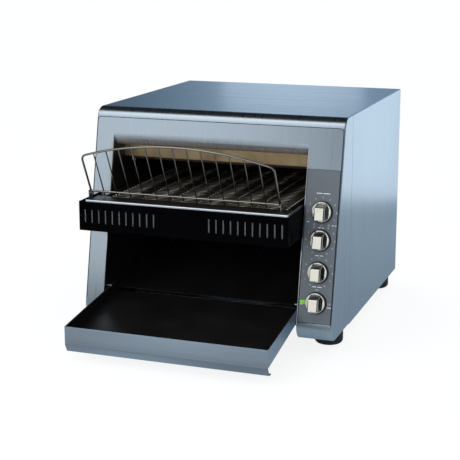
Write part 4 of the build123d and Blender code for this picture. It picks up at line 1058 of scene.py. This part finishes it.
# %% World
def white_room():
    """White for camera rays, the studio's tones for mirrors and glass, else even soft light."""
    world = bpy.data.worlds.new("white_room")
    world.use_nodes = True
    tree = world.node_tree
    tree.nodes.clear()
    coords = add(tree, "ShaderNodeTexCoord")
    direction = add(tree, "ShaderNodeSeparateXYZ", {0: coords.outputs["Generated"]})
    forward = add(tree, "ShaderNodeMath", {0: direction.outputs["Y"], 1: -1.0}, operation="MULTIPLY")
    over = add(tree, "ShaderNodeMath", {
        0: direction.outputs["Z"], 1: forward.outputs[0]}, operation="ARCTAN2")
    turn = add(tree, "ShaderNodeMath", {0: over.outputs[0], 1: math.pi}, operation="DIVIDE")
    wall = add(tree, "ShaderNodeValToRGB", {0: turn.outputs[0]}, tones=[
        (angle / 180, colour) for angle, colour in ROOM_TONES])
    around = add(tree, "ShaderNodeMath", {
        0: direction.outputs["X"], 1: direction.outputs["Y"]}, operation="ARCTAN2")
    left, right = WINDOW_TONES[0][0], WINDOW_TONES[-1][0]
    swing = add(tree, "ShaderNodeMapRange", {
        "Value": around.outputs[0], "From Min": math.radians(left), "From Max": math.radians(right)})
    window = add(tree, "ShaderNodeValToRGB", {0: swing.outputs[0]}, tones=[
        ((angle - left) / (right - left), colour) for angle, colour in WINDOW_TONES])
    seen = add(tree, "ShaderNodeMix", {
        0: 1.0, 6: wall.outputs[0], 7: window.outputs[0]}, data_type="RGBA", blend_type="MULTIPLY")
    rays = add(tree, "ShaderNodeLightPath")
    light = add(tree, "ShaderNodeBackground", {"Color": linear("#EEF3F8"), "Strength": 0.97})
    room = add(tree, "ShaderNodeBackground", {"Color": seen.outputs[2], "Strength": 1.0})
    white = add(tree, "ShaderNodeBackground", {"Color": (1, 1, 1, 1), "Strength": 1.0})
    mixed = add(tree, "ShaderNodeMixShader", {
        0: studio_rays(tree, rays), 1: light.outputs[0], 2: room.outputs[0]})
    mixed = add(tree, "ShaderNodeMixShader", {
        0: rays.outputs["Is Camera Ray"], 1: mixed.outputs[0], 2: white.outputs[0]})
    add(tree, "ShaderNodeOutputWorld", {0: mixed.outputs[0]})
    bpy.context.scene.world = world
    return world


print("world:", white_room().name)


# %% Lamps
def soft_lamp(name, place, target, width, height, power):
    """A rectangular area lamp that faces a point and isn't seen by the camera itself."""
    data = bpy.data.lights.new(name, "AREA")
    data.shape = "RECTANGLE"
    data.size = width
    data.size_y = height
    data.energy = power
    lamp = bpy.data.objects.new(name, data)
    lamp.location = place
    lamp.rotation_euler = (Vector(target) - Vector(place)).to_track_quat("-Z", "Y").to_euler()
    lamp.visible_camera = False
    bpy.context.scene.collection.objects.link(lamp)
    return lamp


# Each lamp: name, place, the point it faces, width, height and power in watts. Three roof
# lamps of different widths lie on each other, so that their highlight has soft ends.
ROOF_LAMPS = [
    ("roof_lamp", (-0.13, 0.8, 0.545), (-0.03, 0.2, 0.43), width, 0.13, 0.21 * width)
    for width in (0.37, 0.28, 0.19)]
LAMPS = [
    ("key_lamp", (-0.66, -1.35, 1.83), (0, -0.1, 0.4), 1.5, 1.5, 8),
    ("side_lamp", (0.6, 0.8, 0.34), (0.245, 0.1, 0.25), 0.5, 0.56, 1.2),
    *ROOF_LAMPS,
    ("dial_lamp", (0.06, -1.0, 0.27), (0.21, -0.15, 0.2), 0.22, 0.38, 0.3),
    ("front_lamp", (-0.48, -1.0, 0.46), (-0.12, -0.1, 0.46), 0.8, 0.6, 1.4)]
for settings in LAMPS:
    soft_lamp(*settings)
print("lamps:", len(LAMPS))

# %% [markdown]
# ## Last measurements
#
# The dressed model must stay inside the CAD model's box, so the CAD box is printed.

# %% Print the CAD box and finish
print("CAD box in mm:", [[round(v * 1000, 1) for v in corner] for corner in cad_box])
